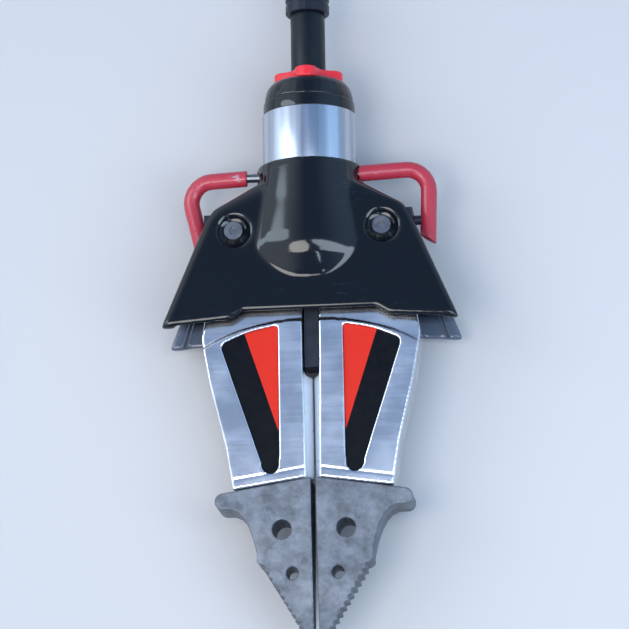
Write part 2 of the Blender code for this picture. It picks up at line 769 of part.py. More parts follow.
def make_crosshead(rod_front):
    rear = rod_front - SEAT_GAP
    crosshead = box("crosshead", (-NOSE_HALF_X, rear - NOSE_LENGTH, -NOSE_HALF_Z),
                    (NOSE_HALF_X, rear, NOSE_HALF_Z), "rod", "dark_steel")
    ears = capsule((-CROSS_PIN_X, CROSS_PIN_Y), CROSS_EYE_R, (CROSS_PIN_X, CROSS_PIN_Y), CROSS_EYE_R)
    inner = LINK_HALF + SEAT_GAP
    outer = YOKE_INNER - RUN_GAP
    join(crosshead, flat("crosshead_upper_ears", [ears], inner, outer, "rod"),
         flat("crosshead_lower_ears", [ears], -outer, -inner, "rod"))
    cut(crosshead, cylinder("crosshead_screw_hole", ROD_SCREW_R + SEAT_GAP,
                            (0, rear - ROD_SCREW_LENGTH - EDGE_BREAK, 0), (0, rear + OVERSHOOT, 0), "rod"))
    for word, side in SIDES.items():
        x = side * CROSS_PIN_X
        cut(crosshead, cylinder(f"crosshead_{word}_hole", CROSS_PIN_R + SEAT_GAP, (x, CROSS_PIN_Y, -THROUGH_Z),
                                (x, CROSS_PIN_Y, THROUGH_Z), "rod"))
        cylinder(f"{word}_crosshead_pin", CROSS_PIN_R, (x, CROSS_PIN_Y, -outer + SEAT_GAP),
                 (x, CROSS_PIN_Y, outer - SEAT_GAP), "rod", "machined_steel")


def make_links():
    pin = link_pin_place()
    eye = (pin[0] + LINK_EYE_OFFSET_X, pin[1] + LINK_EYE_OFFSET_Y)
    cross = (CROSS_PIN_X, CROSS_PIN_Y)
    loops = [capsule(cross, CROSS_EYE_R, eye, LINK_EYE_R), circle(cross, CROSS_PIN_R + SEAT_GAP),
             circle(eye, LINK_PIN_R + OPEN_PIVOT_PLAY + SEAT_GAP)]
    for word, side in SIDES.items():
        flat(f"{word}_link", [flip(loop, side) for loop in loops], -LINK_HALF, LINK_HALF, f"{word}_link",
             "machined_steel")


# Arms


def tip_seam_y(x):
    """Y of the sloping seam between an arm and its tip."""
    return TIP_TOP_Y - TIP_TOP_SLOPE * x


def arm_outline():
    pin = link_pin_place()
    foot = SEAT_GAP
    foot_x = ARM_LOW_X - ARM_FOOT_IN
    bulge = ARM_SHOULDER_ROUND
    return [*arc((PIVOT_X, 0), ARM_BOSS_R, -38, 100, 12), *arc(pin, LOBE_R, 82, 215, 8),
            (ARM_GAP_X + ARM_INNER_LEAN, ARM_ROOT_Y), (ARM_GAP_X, ARM_INNER_Y), (ARM_GAP_X, ARM_INNER_END_Y),
            (ARM_GAP_X - ARM_INNER_LEAN, tip_seam_y(ARM_GAP_X) + foot), (foot_x, tip_seam_y(foot_x) + foot),
            (ARM_LOW_X, ARM_LOW_Y), (ARM_MID_X, ARM_MID_Y),
            (ARM_SHOULDER_X - bulge / 2, ARM_SHOULDER_Y - 4 * bulge), (ARM_SHOULDER_X, ARM_SHOULDER_Y),
            (ARM_SHOULDER_X - bulge, ARM_SHOULDER_Y + 6 * bulge), (ARM_WAIST_X, ARM_WAIST_Y)]


def pocket_outline(inset):
    inner = POCKET_INNER_X + inset
    end_r = POCKET_END_R - inset
    end = (POCKET_INNER_X + POCKET_END_R + EDGE_BREAK, POCKET_END_Y)
    top_y, outer = POCKET_TOP_Y - inset, (POCKET_OUTER_X - inset, POCKET_OUTER_Y - inset)
    middle = ((inner + outer[0]) / 2, (top_y + outer[1]) / 2 + POCKET_CROWN)
    top = rounded([(inner, top_y, POCKET_INNER_R), (*middle, POCKET_CROWN_R), (*outer, POCKET_OUTER_R),
                   (end[0] + end_r, end[1], 0), (end[0] - end_r, end[1], 0)])[:-2]
    return [*top, *arc(end, end_r, 12, -190, 10)]


def shoulder_outline():
    """The stretch behind the arm's rounded shoulder, where the forging is thinner."""
    reach = ARM_SHOULDER_X + OVERSHOOT
    return [(-OVERSHOOT, SHOULDER_REAR_Y), (reach, SHOULDER_REAR_Y),
            *sweep((reach, SHOULDER_OUTER_Y), (SHOULDER_PULL_X, SHOULDER_INNER_Y), (0, SHOULDER_INNER_Y), 8),
            (-OVERSHOOT, SHOULDER_INNER_Y)]


def band_outline():
    """Groove across the arm, along the seam of the tip."""
    inner, outer = 0, ARM_SHOULDER_X
    return [(inner, tip_seam_y(inner) + BAND_WIDTH + GROOVE_WIDTH),
            (outer, tip_seam_y(outer) + BAND_WIDTH + GROOVE_WIDTH),
            (outer, tip_seam_y(outer) + BAND_WIDTH), (inner, tip_seam_y(inner) + BAND_WIDTH)]


def rib_section():
    """Half a rhombus: the arm's inner side runs to a blunt edge at the middle."""
    root, half = ARM_GAP_X + EDGE_BREAK, ARM_HALF - ARM_EDGE_ROUND
    return [(root, half), (RIB_EDGE_X, RIB_EDGE_HALF), (RIB_EDGE_X, -RIB_EDGE_HALF), (root, -half)]


def make_arm(word, side):
    body = f"{word}_arm"
    arm = flat(f"{word}_arm", [flip(arm_outline(), side)], -ARM_HALF, ARM_HALF, body, "bright_aluminium")
    soften(arm, ARM_EDGE_ROUND)
    rib_y = NOSE_FRONT_Y - RIB_NOSE_AIR
    join(arm, prism(f"{word}_arm_rib", [(side * rib_x, rib_y, z) for rib_x, z in rib_section()],
                    (0, tip_seam_y(RIB_EDGE_X) + SEAT_GAP - rib_y, 0), body))
    x = side * PIVOT_X
    pin_x, pin_y = link_pin_place()
    seam = tip_seam_y(TONGUE_INNER_X)
    ends = sorted((side * TONGUE_INNER_X, side * TONGUE_OUTER_X))
    join(arm, box(f"{word}_arm_tongue", (ends[0], seam - TONGUE_LENGTH, -TONGUE_HALF),
                  (ends[1], seam + OVERSHOOT / 2, TONGUE_HALF), body))
    slot = sorted((-side * OVERSHOOT, side * (PIVOT_X - ARM_BOSS_R - EDGE_BREAK / 2)))
    cut(arm, cylinder(f"{word}_arm_bore", BUSH_R + SEAT_GAP, (x, 0, -THROUGH_Z), (x, 0, THROUGH_Z), body),
        cylinder(f"{word}_arm_link_hole", LINK_PIN_R + SEAT_GAP, (side * pin_x, pin_y, -THROUGH_Z),
                 (side * pin_x, pin_y, THROUGH_Z), body),
        box(f"{word}_arm_link_slot", (slot[0], pin_y - LINK_EYE_R - 2 * OPEN_PIVOT_PLAY - EDGE_BREAK,
                                      -LINK_HALF - SEAT_GAP),
            (slot[1], pin_y + LOBE_R + LINK_EYE_R, LINK_HALF + SEAT_GAP), body))
    for tag, low, high in (("upper", ARM_HALF - POCKET_DEPTH, ARM_HALF + OVERSHOOT),
                           ("lower", -ARM_HALF - OVERSHOOT, -ARM_HALF + POCKET_DEPTH)):
        near, far = (high - OVERSHOOT, high) if tag == "upper" else (low, low + OVERSHOOT)
        step = SHOULDER_STEP if tag == "upper" else -SHOULDER_STEP
        groove = GROOVE_DEPTH if tag == "upper" else -GROOVE_DEPTH
        cut(arm, flat(f"{word}_arm_{tag}_pocket", [flip(pocket_outline(0), side)], low, high, body),
            flat(f"{word}_arm_{tag}_step", [flip(shoulder_outline(), side)],
                 min(near - step, near), max(far, far - step), body),
            flat(f"{word}_arm_{tag}_groove", [flip(band_outline(), side)],
                 min(near - groove, near), max(far, far - groove), body))
        floor = low + SEAT_GAP if tag == "upper" else high - SEAT_GAP - PANEL_T
        flat(f"{word}_{tag}_panel", [flip(pocket_outline(FILM_GAP), side)], floor, floor + PANEL_T, body,
             "panel_film")
    bush = cylinder(f"{word}_arm_bush", BUSH_R, (x, 0, -ARM_HALF), (x, 0, ARM_HALF), body, "bronze")
    cut(bush, cylinder(f"{word}_arm_bush_bore", PIVOT_PIN_R + RUN_GAP, (x, 0, -THROUGH_Z), (x, 0, THROUGH_Z),
                       body))
    cylinder(f"{word}_link_pin", LINK_PIN_R, (side * pin_x, pin_y, -ARM_HALF + SEAT_GAP),
             (side * pin_x, pin_y, ARM_HALF - SEAT_GAP), body, "machined_steel")
    make_tip(word, side, arm)


def tip_outline():
    first = (TIP_NECK_X - 2 * TOOTH_UNDERCUT, TIP_NECK_Y - 2 * TOOTH_UNDERCUT)
    last = (TIP_NOSE_X, TIP_NOSE_Y)
    teeth = [first]
    for i in range(1, TOOTH_COUNT + 1):
        x, y = (first[k] + (last[k] - first[k]) * i / TOOTH_COUNT for k in (0, 1))
        teeth += [(x - TOOTH_UNDERCUT, teeth[-1][1] - TOOTH_UNDERCUT), (x, y)]
    horn = (TIP_HORN_X - TIP_HORN_R, tip_seam_y(TIP_HORN_X) - TIP_HORN_R + EDGE_BREAK / 2)
    brow = sweep((horn[0] - TIP_HORN_R, horn[1] - TIP_HORN_R), (TIP_BROW_X, TIP_BROW_Y),
                 (TIP_NECK_X, TIP_NECK_Y + TIP_HORN_R), 5)
    return [(TIP_INNER_X, tip_seam_y(TIP_INNER_X)), *reversed(arc(horn, TIP_HORN_R, -100, 80, 8)), *brow,
            (TIP_NECK_X, TIP_NECK_Y), *teeth, (TIP_INNER_X + TIP_END_FLAT, TIP_END_Y + TIP_END_FLAT / 2),
            (TIP_INNER_X + EDGE_BREAK, TIP_END_Y), (TIP_INNER_X, TIP_END_Y + TIP_END_FLAT)]


def make_tip(word, side, arm):
    body = f"{word}_arm"
    tip = flat(f"{word}_tip", [flip(tip_outline(), side)], -TIP_HALF, TIP_HALF, body, "cast_steel")
    for tag, up in (("upper", 1), ("lower", -1)):
        cut(tip, taper_cutter(f"{word}_tip_{tag}_taper", up, body))
    seam = tip_seam_y(TONGUE_INNER_X)
    ends = sorted((side * (TONGUE_INNER_X - SEAT_GAP), side * (TONGUE_OUTER_X + SEAT_GAP)))
    cut(tip, box(f"{word}_tip_socket", (ends[0], seam - TONGUE_LENGTH - SEAT_GAP, -TONGUE_HALF - SEAT_GAP),
                 (ends[1], seam + 2 * OVERSHOOT, TONGUE_HALF + SEAT_GAP), body))
    for tag, place, radius in (("hole", (TIP_HOLE_X, TIP_HOLE_Y), TIP_HOLE_R),
                               ("small_hole", (TIP_SMALL_HOLE_X, TIP_SMALL_HOLE_Y), TIP_SMALL_HOLE_R)):
        x = side * place[0]
        cut(tip, cylinder(f"{word}_tip_{tag}", radius, (x, place[1], -THROUGH_Z), (x, place[1], THROUGH_Z),
                          body, sides=SMALL_SIDES))
    pin_y = tip_seam_y(TIP_HORN_X) - TIP_HORN_R
    pin_in = TONGUE_OUTER_X - TIP_PIN_DEPTH
    hole = TIP_PIN_R + SEAT_GAP
    cut(tip, cylinder(f"{word}_tip_pin_hole", hole, (side * (TONGUE_OUTER_X - OVERSHOOT / 2), pin_y, 0),
                      (side * (TIP_HORN_X + OVERSHOOT), pin_y, 0), body, sides=SMALL_SIDES))
    cut(arm, cylinder(f"{word}_tongue_pin_hole", hole, (side * (pin_in - SEAT_GAP), pin_y, 0),
                      (side * (TONGUE_OUTER_X + OVERSHOOT), pin_y, 0), body, sides=SMALL_SIDES))
    cylinder(f"{word}_tip_pin", TIP_PIN_R, (side * pin_in, pin_y, 0),
             (side * (TIP_HORN_X - TIP_PIN_INSET), pin_y, 0), body, "machined_steel", sides=SMALL_SIDES)


def taper_cutter(name, up, body):
    """A wedge that thins the tip from its root to its point."""
    fall = (TIP_HALF - TIP_POINT_HALF) / (TIP_TAPER_Y - TIP_END_Y)
    start, far = TIP_TAPER_Y + OVERSHOOT / fall, TIP_END_Y - OVERSHOOT
    high = TIP_HALF + 2 * OVERSHOOT
    section = [(start, TIP_HALF + OVERSHOOT), (far, TIP_POINT_HALF - OVERSHOOT * fall), (far, high),
               (start, high)]
    reach = TIP_HORN_X + OVERSHOOT
    return prism(name, [(-reach, y, z * up) for y, z in section], (2 * reach, 0, 0), body)


# Pivots


def make_pivots():
    for word, side in SIDES.items():
        x = side * PIVOT_X
        pin = cylinder(f"{word}_pivot_pin", PIVOT_PIN_R, (x, 0, -YOKE_OUTER), (x, 0, YOKE_OUTER), "tool",
                       "machined_steel")
        cut(pin, cylinder(f"{word}_pivot_pin_bore", BOLT_R + SEAT_GAP, (x, 0, -THROUGH_Z), (x, 0, THROUGH_Z),
                          "tool", sides=SMALL_SIDES))
        head_top = BOLT_SEAT_Z + BOLT_HEAD_T
        bolt = cylinder(f"{word}_pivot_bolt", BOLT_R, (x, 0, -BOLT_SEAT_Z - NUT_T - BOLT_PAST_NUT),
                        (x, 0, BOLT_SEAT_Z + EDGE_BREAK), "tool", "machined_steel", sides=SMALL_SIDES)
        join(bolt, cylinder(f"{word}_bolt_head", BOLT_HEAD_R, (x, 0, BOLT_SEAT_Z), (x, 0, head_top), "tool"))
        cut(bolt, flat(f"{word}_bolt_socket", [hexagon((x, 0), BOLT_SOCKET_R)], head_top - BOLT_SOCKET_DEPTH,
                       head_top + OVERSHOOT, "tool"))
        flat(f"{word}_pivot_nut", [hexagon((x, 0), NUT_R), circle((x, 0), BOLT_R + SEAT_GAP, SMALL_SIDES)],
             -BOLT_SEAT_Z - NUT_T, -BOLT_SEAT_Z, "tool", "machined_steel")


# Rear head, star grip and tail


def make_rear_head():
    back = HEAD_END_Y
    dome = [(HEAD_REAR_R, back)]
    dome += [(HEAD_REAR_R + (HEAD_R - HEAD_REAR_R) * math.sin(math.radians(a)),
              HEAD_Y + (HEAD_LENGTH - EDGE_BREAK) * math.cos(math.radians(a))) for a in (20, 45, 70, 90)]
    bore = NECK_R + SEAT_GAP
    neck_front = back - NECK_SEAT_DEPTH
    spigot_r = BARREL_BORE_R - SEAT_GAP
    turned("rear_head", [*dome, (spigot_r, HEAD_Y), (spigot_r, HEAD_Y - HEAD_SPIGOT),
                         (NECK_BORE_R, HEAD_Y - HEAD_SPIGOT), (NECK_BORE_R, neck_front), (bore, neck_front),
                         (bore, back - SPRING_POCKET_DEPTH), (SPRING_POCKET_R, back - SPRING_POCKET_DEPTH),
                         (SPRING_POCKET_R, back)], "tool", "black_shell", FINE_SIDES)
    neck_end = TAIL_Y + TAIL_SOCKET_DEPTH - SEAT_GAP
    turned("control_neck", [(NECK_R, neck_end), (NECK_R, neck_front + SEAT_GAP),
                            (NECK_BORE_R, neck_front + SEAT_GAP), (NECK_BORE_R, neck_end)],
           "tool", "machined_steel")
    make_grip_spring(back)


def make_grip_spring(back):
    """Coil of flat wire that turns the star grip back."""
    inner, outer = NECK_R + SPRING_AIR, SPRING_POCKET_R - SPRING_AIR
    start = back - SPRING_POCKET_DEPTH + SEAT_GAP
    rise = SPRING_POCKET_DEPTH - HUB_DEPTH - EDGE_BREAK - SPRING_WIRE_T - SEAT_GAP
    steps = SPRING_TURNS * SMALL_SIDES
    corners = ((inner, 0), (outer, 0), (outer, SPRING_WIRE_T), (inner, SPRING_WIRE_T))
    work = bmesh.new()
    rings = []
    for i in range(steps + 1):
        angle = 2 * math.pi * i / SMALL_SIDES
        y = start + rise * i / steps
        rings.append([work.verts.new((r * math.cos(angle), y + lift, r * math.sin(angle)))
                      for r, lift in corners])
    for ring, following in zip(rings, rings[1:]):
        for i in range(len(corners)):
            j = (i + 1) % len(corners)
            work.faces.new((ring[i], ring[j], following[j], following[i]))
    work.faces.new(rings[0])
    work.faces.new(reversed(rings[-1]))
    bmesh.ops.recalc_face_normals(work, faces=work.faces)
    bmesh.ops.triangulate(work, faces=work.faces)
    mesh = bpy.data.meshes.new("grip_spring")
    work.to_mesh(mesh)
    work.free()
    add_object("grip_spring", mesh, "tool", "machined_steel")


def star_outline():
    points = []
    steps = 10 * STAR_LOBES
    for i in range(steps):
        angle = 2 * math.pi * i / steps
        wave = math.cos(STAR_LOBES * angle)
        radius = STAR_MID_R + STAR_LOBE * math.copysign(abs(wave) ** 0.7, wave)
        points.append((radius * math.cos(angle), radius * math.sin(angle)))
    return points


def make_star_grip():
    grip = flat("star_grip", [star_outline()], 0, GRIP_T, "star", "red_plastic")
    grip.data.transform(Matrix.Translation((0, STAR_Y, 0)) @ Matrix.Rotation(-math.pi / 2, 4, "X"))
    soften(grip, 0.0025)
    hub_front = HEAD_END_Y - HUB_DEPTH
    join(grip, cylinder("star_grip_hub", SPRING_POCKET_R - RUN_GAP, (0, hub_front, 0),
                        (0, STAR_Y + GRIP_T / 2, 0), "star"))
    cut(grip, cylinder("star_grip_bore", NECK_R + RUN_GAP, (0, hub_front - OVERSHOOT, 0),
                       (0, TAIL_Y + OVERSHOOT, 0), "star"))


def make_tail():
    end = TAIL_Y + TAIL_LENGTH
    socket = TAIL_Y + TAIL_SOCKET_DEPTH
    turned("tail_tube", [(TAIL_R, end), (TAIL_R, TAIL_Y + EDGE_BREAK), (TAIL_R - EDGE_BREAK, TAIL_Y),
                         (NECK_R + RUN_GAP, TAIL_Y), (NECK_R + RUN_GAP, socket), (TAIL_BORE_R, socket),
                         (TAIL_BORE_R, end)], "tail", "black_rubber")
    sleeve_end = SLEEVE_Y + SLEEVE_LENGTH
    inner = NIPPLE_R + SEAT_GAP
    groove_r = SLEEVE_R - SLEEVE_GROOVE
    groove = SLEEVE_Y + SLEEVE_GROOVE_FROM
    groove_end = groove + SLEEVE_GROOVE_WIDTH
    turned("coupling_sleeve", [(SLEEVE_R - EDGE_BREAK, sleeve_end), (SLEEVE_R, sleeve_end - EDGE_BREAK),
                               (SLEEVE_R, groove_end), (groove_r, groove_end - EDGE_BREAK),
                               (groove_r, groove + EDGE_BREAK), (SLEEVE_R, groove),
                               (SLEEVE_R, SLEEVE_Y + EDGE_BREAK), (SLEEVE_R - EDGE_BREAK, SLEEVE_Y),
                               (inner, SLEEVE_Y), (inner, sleeve_end)], "tail", "dark_steel")
    start = end + SEAT_GAP
    poppet_front = TAIL_END_Y - EDGE_BREAK
    poppet_rear = poppet_front - POPPET_LENGTH
    seat = poppet_rear - POPPET_TRAVEL - POPPET_SPARE
    slope = NIPPLE_GROOVE
    waist_r = NIPPLE_R - slope
    groove = TAIL_END_Y - NIPPLE_GROOVE_FROM
    groove_end = groove - NIPPLE_GROOVE_WIDTH
    turned("coupling_nipple", [(waist_r, TAIL_END_Y), (NIPPLE_R, TAIL_END_Y - slope), (NIPPLE_R, groove),
                               (waist_r, groove - slope), (waist_r, groove_end + slope),
                               (NIPPLE_R, groove_end), (NIPPLE_R, start), (TAIL_BORE_R / 2, start),
                               (TAIL_BORE_R / 2, seat),
                               (NIPPLE_BORE_R, seat), (NIPPLE_BORE_R, TAIL_END_Y)], "tail", "machined_steel")
    poppet = turned("coupling_poppet", [(0, poppet_front), (POPPET_R - POPPET_CONE, poppet_front),
                                        (POPPET_R, poppet_front - POPPET_CONE), (POPPET_R, poppet_rear),
                                        (0, poppet_rear)], "poppet", "bronze")
    open_profile(poppet)


# Side grips


def smooth_bend(points, radius, steps=7):
    """A route of straight runs with round bends at its inner points."""
    route = [Vector(points[0])]
    for before, here, after in zip(points, points[1:], points[2:]):
        here = Vector(here)
        back = (Vector(before) - here).normalized()
        ahead = (Vector(after) - here).normalized()
        half = back.angle(ahead) / 2
        reach = radius / math.tan(half)
        centre = here + (back + ahead).normalized() * radius / math.sin(half)
        start = (here + back * reach - centre).normalized()
        end = (here + ahead * reach - centre).normalized()
        for i in range(steps + 1):
            route.append(centre + start.slerp(end, i / steps) * radius)
    route.append(Vector(points[-1]))
    return route


def make_side_grip(word, side):
    end_x = BULGE_R + GRIP_END_OUT[word]
    corner = (GRIP_CORNER_X[word], GRIP_CORNER_Y[word], GRIP_CORNER_Z)
    route = smooth_bend([(end_x - GRIP_TUBE_R / 2, GRIP_BAR_Y, GRIP_BAR_Z), corner,
                         (GRIP_FOOT_X[word], GRIP_FOOT_Y, 0)], GRIP_BEND_R)
    curve = bpy.data.curves.new(f"{word}_side_grip", "CURVE")
    curve.dimensions = "3D"
    curve.bevel_depth = GRIP_TUBE_R
    curve.bevel_resolution = 6
    curve.use_fill_caps = True
    curve.twist_mode = "MINIMUM"
    spline = curve.splines.new("POLY")
    spline.points.add(len(route) - 1)
    for point, place in zip(spline.points, route):
        point.co = (place.x * side, place.y, place.z, 1)
    grip = add_mesh_of(f"{word}_side_grip", curve, Matrix.Identity(4), "tool", "red_paint")
    if end_x > BULGE_R:
        ends = sorted((side * STUD_ROOT_X, side * end_x))
        reach = 2 * GRIP_TUBE_R
        cut(grip, box(f"{word}_grip_end", (ends[0], GRIP_BAR_Y - reach, GRIP_BAR_Z - reach),
                      (ends[1], GRIP_BAR_Y + reach, GRIP_BAR_Z + reach), "tool"))
    cut(grip, cylinder(f"{word}_grip_saddle", BULGE_R + SEAT_GAP, (0, 0, 0), (0, 2 * GRIP_BAR_Y, 0), "tool",
                       sides=FINE_SIDES),
        cylinder(f"{word}_grip_stud_hole", STUD_R + SEAT_GAP, (side * STUD_ROOT_X, GRIP_BAR_Y, GRIP_BAR_Z),
                 (side * (BULGE_R + STUD_GRIP_DEPTH + SEAT_GAP), GRIP_BAR_Y, GRIP_BAR_Z), "tool",
                 sides=SMALL_SIDES))
    cut(grip, cylinder(f"{word}_leg_hole", LEG_STUD_R + SEAT_GAP, (side * WEB_X, LEG_STUD_Y, 0),
                       (side * (leg_x(word) + SEAT_GAP), LEG_STUD_Y, 0), "tool", sides=SMALL_SIDES),
        leg_cutter(word, side))
    cylinder(f"{word}_grip_stud", STUD_R, (side * STUD_ROOT_X, GRIP_BAR_Y, GRIP_BAR_Z),
             (side * (BULGE_R + STUD_GRIP_DEPTH), GRIP_BAR_Y, GRIP_BAR_Z), "tool", "machined_steel",
             sides=SMALL_SIDES)


def leg_cutter(word, side):
    """Cuts the leg's end on a slant, clear of the open arm."""
    reach = 4 * GRIP_TUBE_R
    cutter = box(f"{word}_leg_cutter", (-reach, -2 * reach, -reach), (reach, 0, reach), "tool")
    turn = Matrix.Rotation(-side * LEG_CUT_ANGLE[word], 4, "Z")
    cutter.data.transform(Matrix.Translation((side * LEG_CUT_X[word], LEG_CUT_Y, 0)) @ turn)
    return cutter


def make_axes():
    """The tool's own frame, and one empty on each joint's axis."""
    add_axis("tool", (0, 0, 0))
    axes["tool"][0].location = (0, ORIGIN_Y, BULGE_R)
    add_axis("underside", (0, 0, 0), "tool")
    axes["underside"][0].rotation_euler.y = math.pi
    add_axis("rod", (0, CROSS_PIN_Y, 0), "tool")
    add_axis("star", (0, STAR_Y, 0), "tool")
    add_axis("tail", (0, TAIL_Y, 0), "tool")
    add_axis("poppet", (0, TAIL_END_Y, 0), "tail")
    for word, side in SIDES.items():
        add_axis(f"{word}_arm", (side * PIVOT_X, 0, 0), "tool")
        add_axis(f"{word}_link", (side * CROSS_PIN_X, CROSS_PIN_Y, 0), "rod")


def main():
    clear_scene()
    make_finishes()
    make_axes()
    make_covers()
    make_yoke()
    make_cylinder()
    make_rod_group()
    make_links()
    for word, side in SIDES.items():
        make_arm(word, side)
        make_side_grip(word, side)
    make_pivots()
    make_rear_head()
    make_star_grip()
    make_tail()


main()
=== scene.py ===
"""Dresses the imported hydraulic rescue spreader: fine shapes, finishes, pale floor, soft light and the camera.

Metres, +Z up. The tips point along -Y, the tail along +Y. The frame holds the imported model's own pieces,
which keep their places. The finer pieces here are made from them or to their sizes, and each takes the place
of the node that it names.
"""

import json
import math

import bpy
from bpy.props import FloatProperty, FloatVectorProperty, IntProperty, PointerProperty
from mathutils import Matrix, Vector


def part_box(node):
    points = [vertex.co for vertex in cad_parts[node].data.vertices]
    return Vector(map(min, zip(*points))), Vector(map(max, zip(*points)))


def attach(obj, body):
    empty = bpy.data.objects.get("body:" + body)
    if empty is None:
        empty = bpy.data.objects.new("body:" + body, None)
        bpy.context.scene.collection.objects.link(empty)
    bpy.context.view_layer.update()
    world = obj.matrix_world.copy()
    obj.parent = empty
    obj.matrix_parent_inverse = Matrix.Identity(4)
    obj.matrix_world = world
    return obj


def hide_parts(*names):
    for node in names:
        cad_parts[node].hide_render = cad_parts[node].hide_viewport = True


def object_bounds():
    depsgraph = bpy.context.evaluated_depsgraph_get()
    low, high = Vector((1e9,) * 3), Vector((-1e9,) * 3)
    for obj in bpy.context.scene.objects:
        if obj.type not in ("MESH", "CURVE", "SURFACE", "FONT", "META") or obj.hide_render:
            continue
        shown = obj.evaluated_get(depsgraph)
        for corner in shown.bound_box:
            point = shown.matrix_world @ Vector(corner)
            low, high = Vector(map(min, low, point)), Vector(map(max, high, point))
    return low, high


bl_info = {
    "name": "Rescue spreader",
    "version": (1, 0, 0),
    "blender": (4, 5, 0),
    "location": "3D View > Sidebar > Spreader",
    "description": "Fine shapes, finishes and studio for a hydraulic rescue spreader",
    "category": "Add Mesh",
}

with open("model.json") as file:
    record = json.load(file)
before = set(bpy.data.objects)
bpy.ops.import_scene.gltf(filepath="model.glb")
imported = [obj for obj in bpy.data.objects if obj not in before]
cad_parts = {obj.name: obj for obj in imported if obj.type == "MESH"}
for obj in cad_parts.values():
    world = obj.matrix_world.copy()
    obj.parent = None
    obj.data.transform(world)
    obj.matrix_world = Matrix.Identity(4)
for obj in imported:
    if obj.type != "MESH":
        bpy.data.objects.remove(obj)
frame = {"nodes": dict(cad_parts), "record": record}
CAD_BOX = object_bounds()

# Height of the tool's long axis, place of the arm pivots along it, and radius of the covers' bulge round it
AXIS_Z = (CAD_BOX[0].z + CAD_BOX[1].z) / 2
PIVOT_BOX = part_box("right_pivot_pin")
PIVOT_Y = (PIVOT_BOX[0].y + PIVOT_BOX[1].y) / 2
BULGE_RADIUS = CAD_BOX[1].z - AXIS_Z

# The tool's two sides, along X, and its two faces, along Z
SIDES = {"left": -1, "right": 1}
FACES = {"upper": 1, "lower": -1}

# Bodies that the pieces ride on, apart from those of the arms and the links
HOUSING = "housing"
STAR = "star"
TAIL = "tail"

# Corners nearer than this are one corner
MERGE_DISTANCE = 1e-6

# How far one smoothing pass moves a corner towards the middle of its neighbours
SMOOTHING = 0.5

# Rows of faces on a broken edge, the least angle of an edge that is broken, and of one that is shaded sharp
BREAK_ROWS = 3
BREAK_ANGLE = math.radians(35)
SHARP_ANGLE = math.radians(40)

# How far a cutter runs on past what it cuts
CUT_OVERRUN = 0.01

# How much of the lower cover's front moves as it is drawn forward
FRONT_STRETCH = 0.02

# How far the flanks end short of the cover's rear edge
FLANK_INSET = 0.001

# How far the red film stands out of the black one, so that it shows
FILM_STEP = 0.00015

# Where the side grips' paint turns paler grey on top, each pair from none to full: up from the tool's axis,
# and out from its middle at the grips' inner ends and at their outer legs
PALE_TOP_UP = (0.016, 0.023)
PALE_TOP_INNER = (0.060, 0.072)
PALE_TOP_OUTER = (0.112, 0.098)

# Sideways part of a direction at which the sky begins to turn to its left or right colour, and ends
SKY_LEFT_FADE = (-0.10, -0.60)
SKY_RIGHT_FADE = (0.15, 0.80)

FLOOR_WIDTH = 30
SENSOR_WIDTH = 36

# Sockets of a Mix node that mixes colours: the first, the second and the result
MIX_FIRST = 6
MIX_SECOND = 7
MIX_RESULT = 2


def arm_body(word):
    return f"{word}_arm_body"


def link_body(word):
    return f"{word}_link_body"


# Kinds of settings


def colour(name, description, default):
    return FloatVectorProperty(name=name, description=description, subtype="COLOR", size=3, min=0, max=1,
                               default=default)


def length(name, description, default):
    return FloatProperty(name=name, description=description, subtype="DISTANCE", unit="LENGTH",
                         default=default, min=0, precision=4)


def offset(name, description, default):
    return FloatProperty(name=name, description=description, unit="LENGTH", default=default)


def fraction(name, description, default, least=0, most=1):
    return FloatProperty(name=name, description=description, default=default, min=least, max=most)


def count(name, description, default, least=0):
    return IntProperty(name=name, description=description, default=default, min=least)


def angle(name, description, degrees):
    return FloatProperty(name=name, description=description, subtype="ANGLE", default=math.radians(degrees))


def lamp_power(name, description, default):
    return FloatProperty(name=name, description=description, unit="POWER", default=default, min=0)


def lamp_size(name, description, default):
    return FloatVectorProperty(name=name, description=description, size=2, unit="LENGTH", default=default)


def lamp_place(name, description, default):
    return FloatVectorProperty(name=name, description=description, subtype="TRANSLATION", unit="LENGTH",
                               default=default)


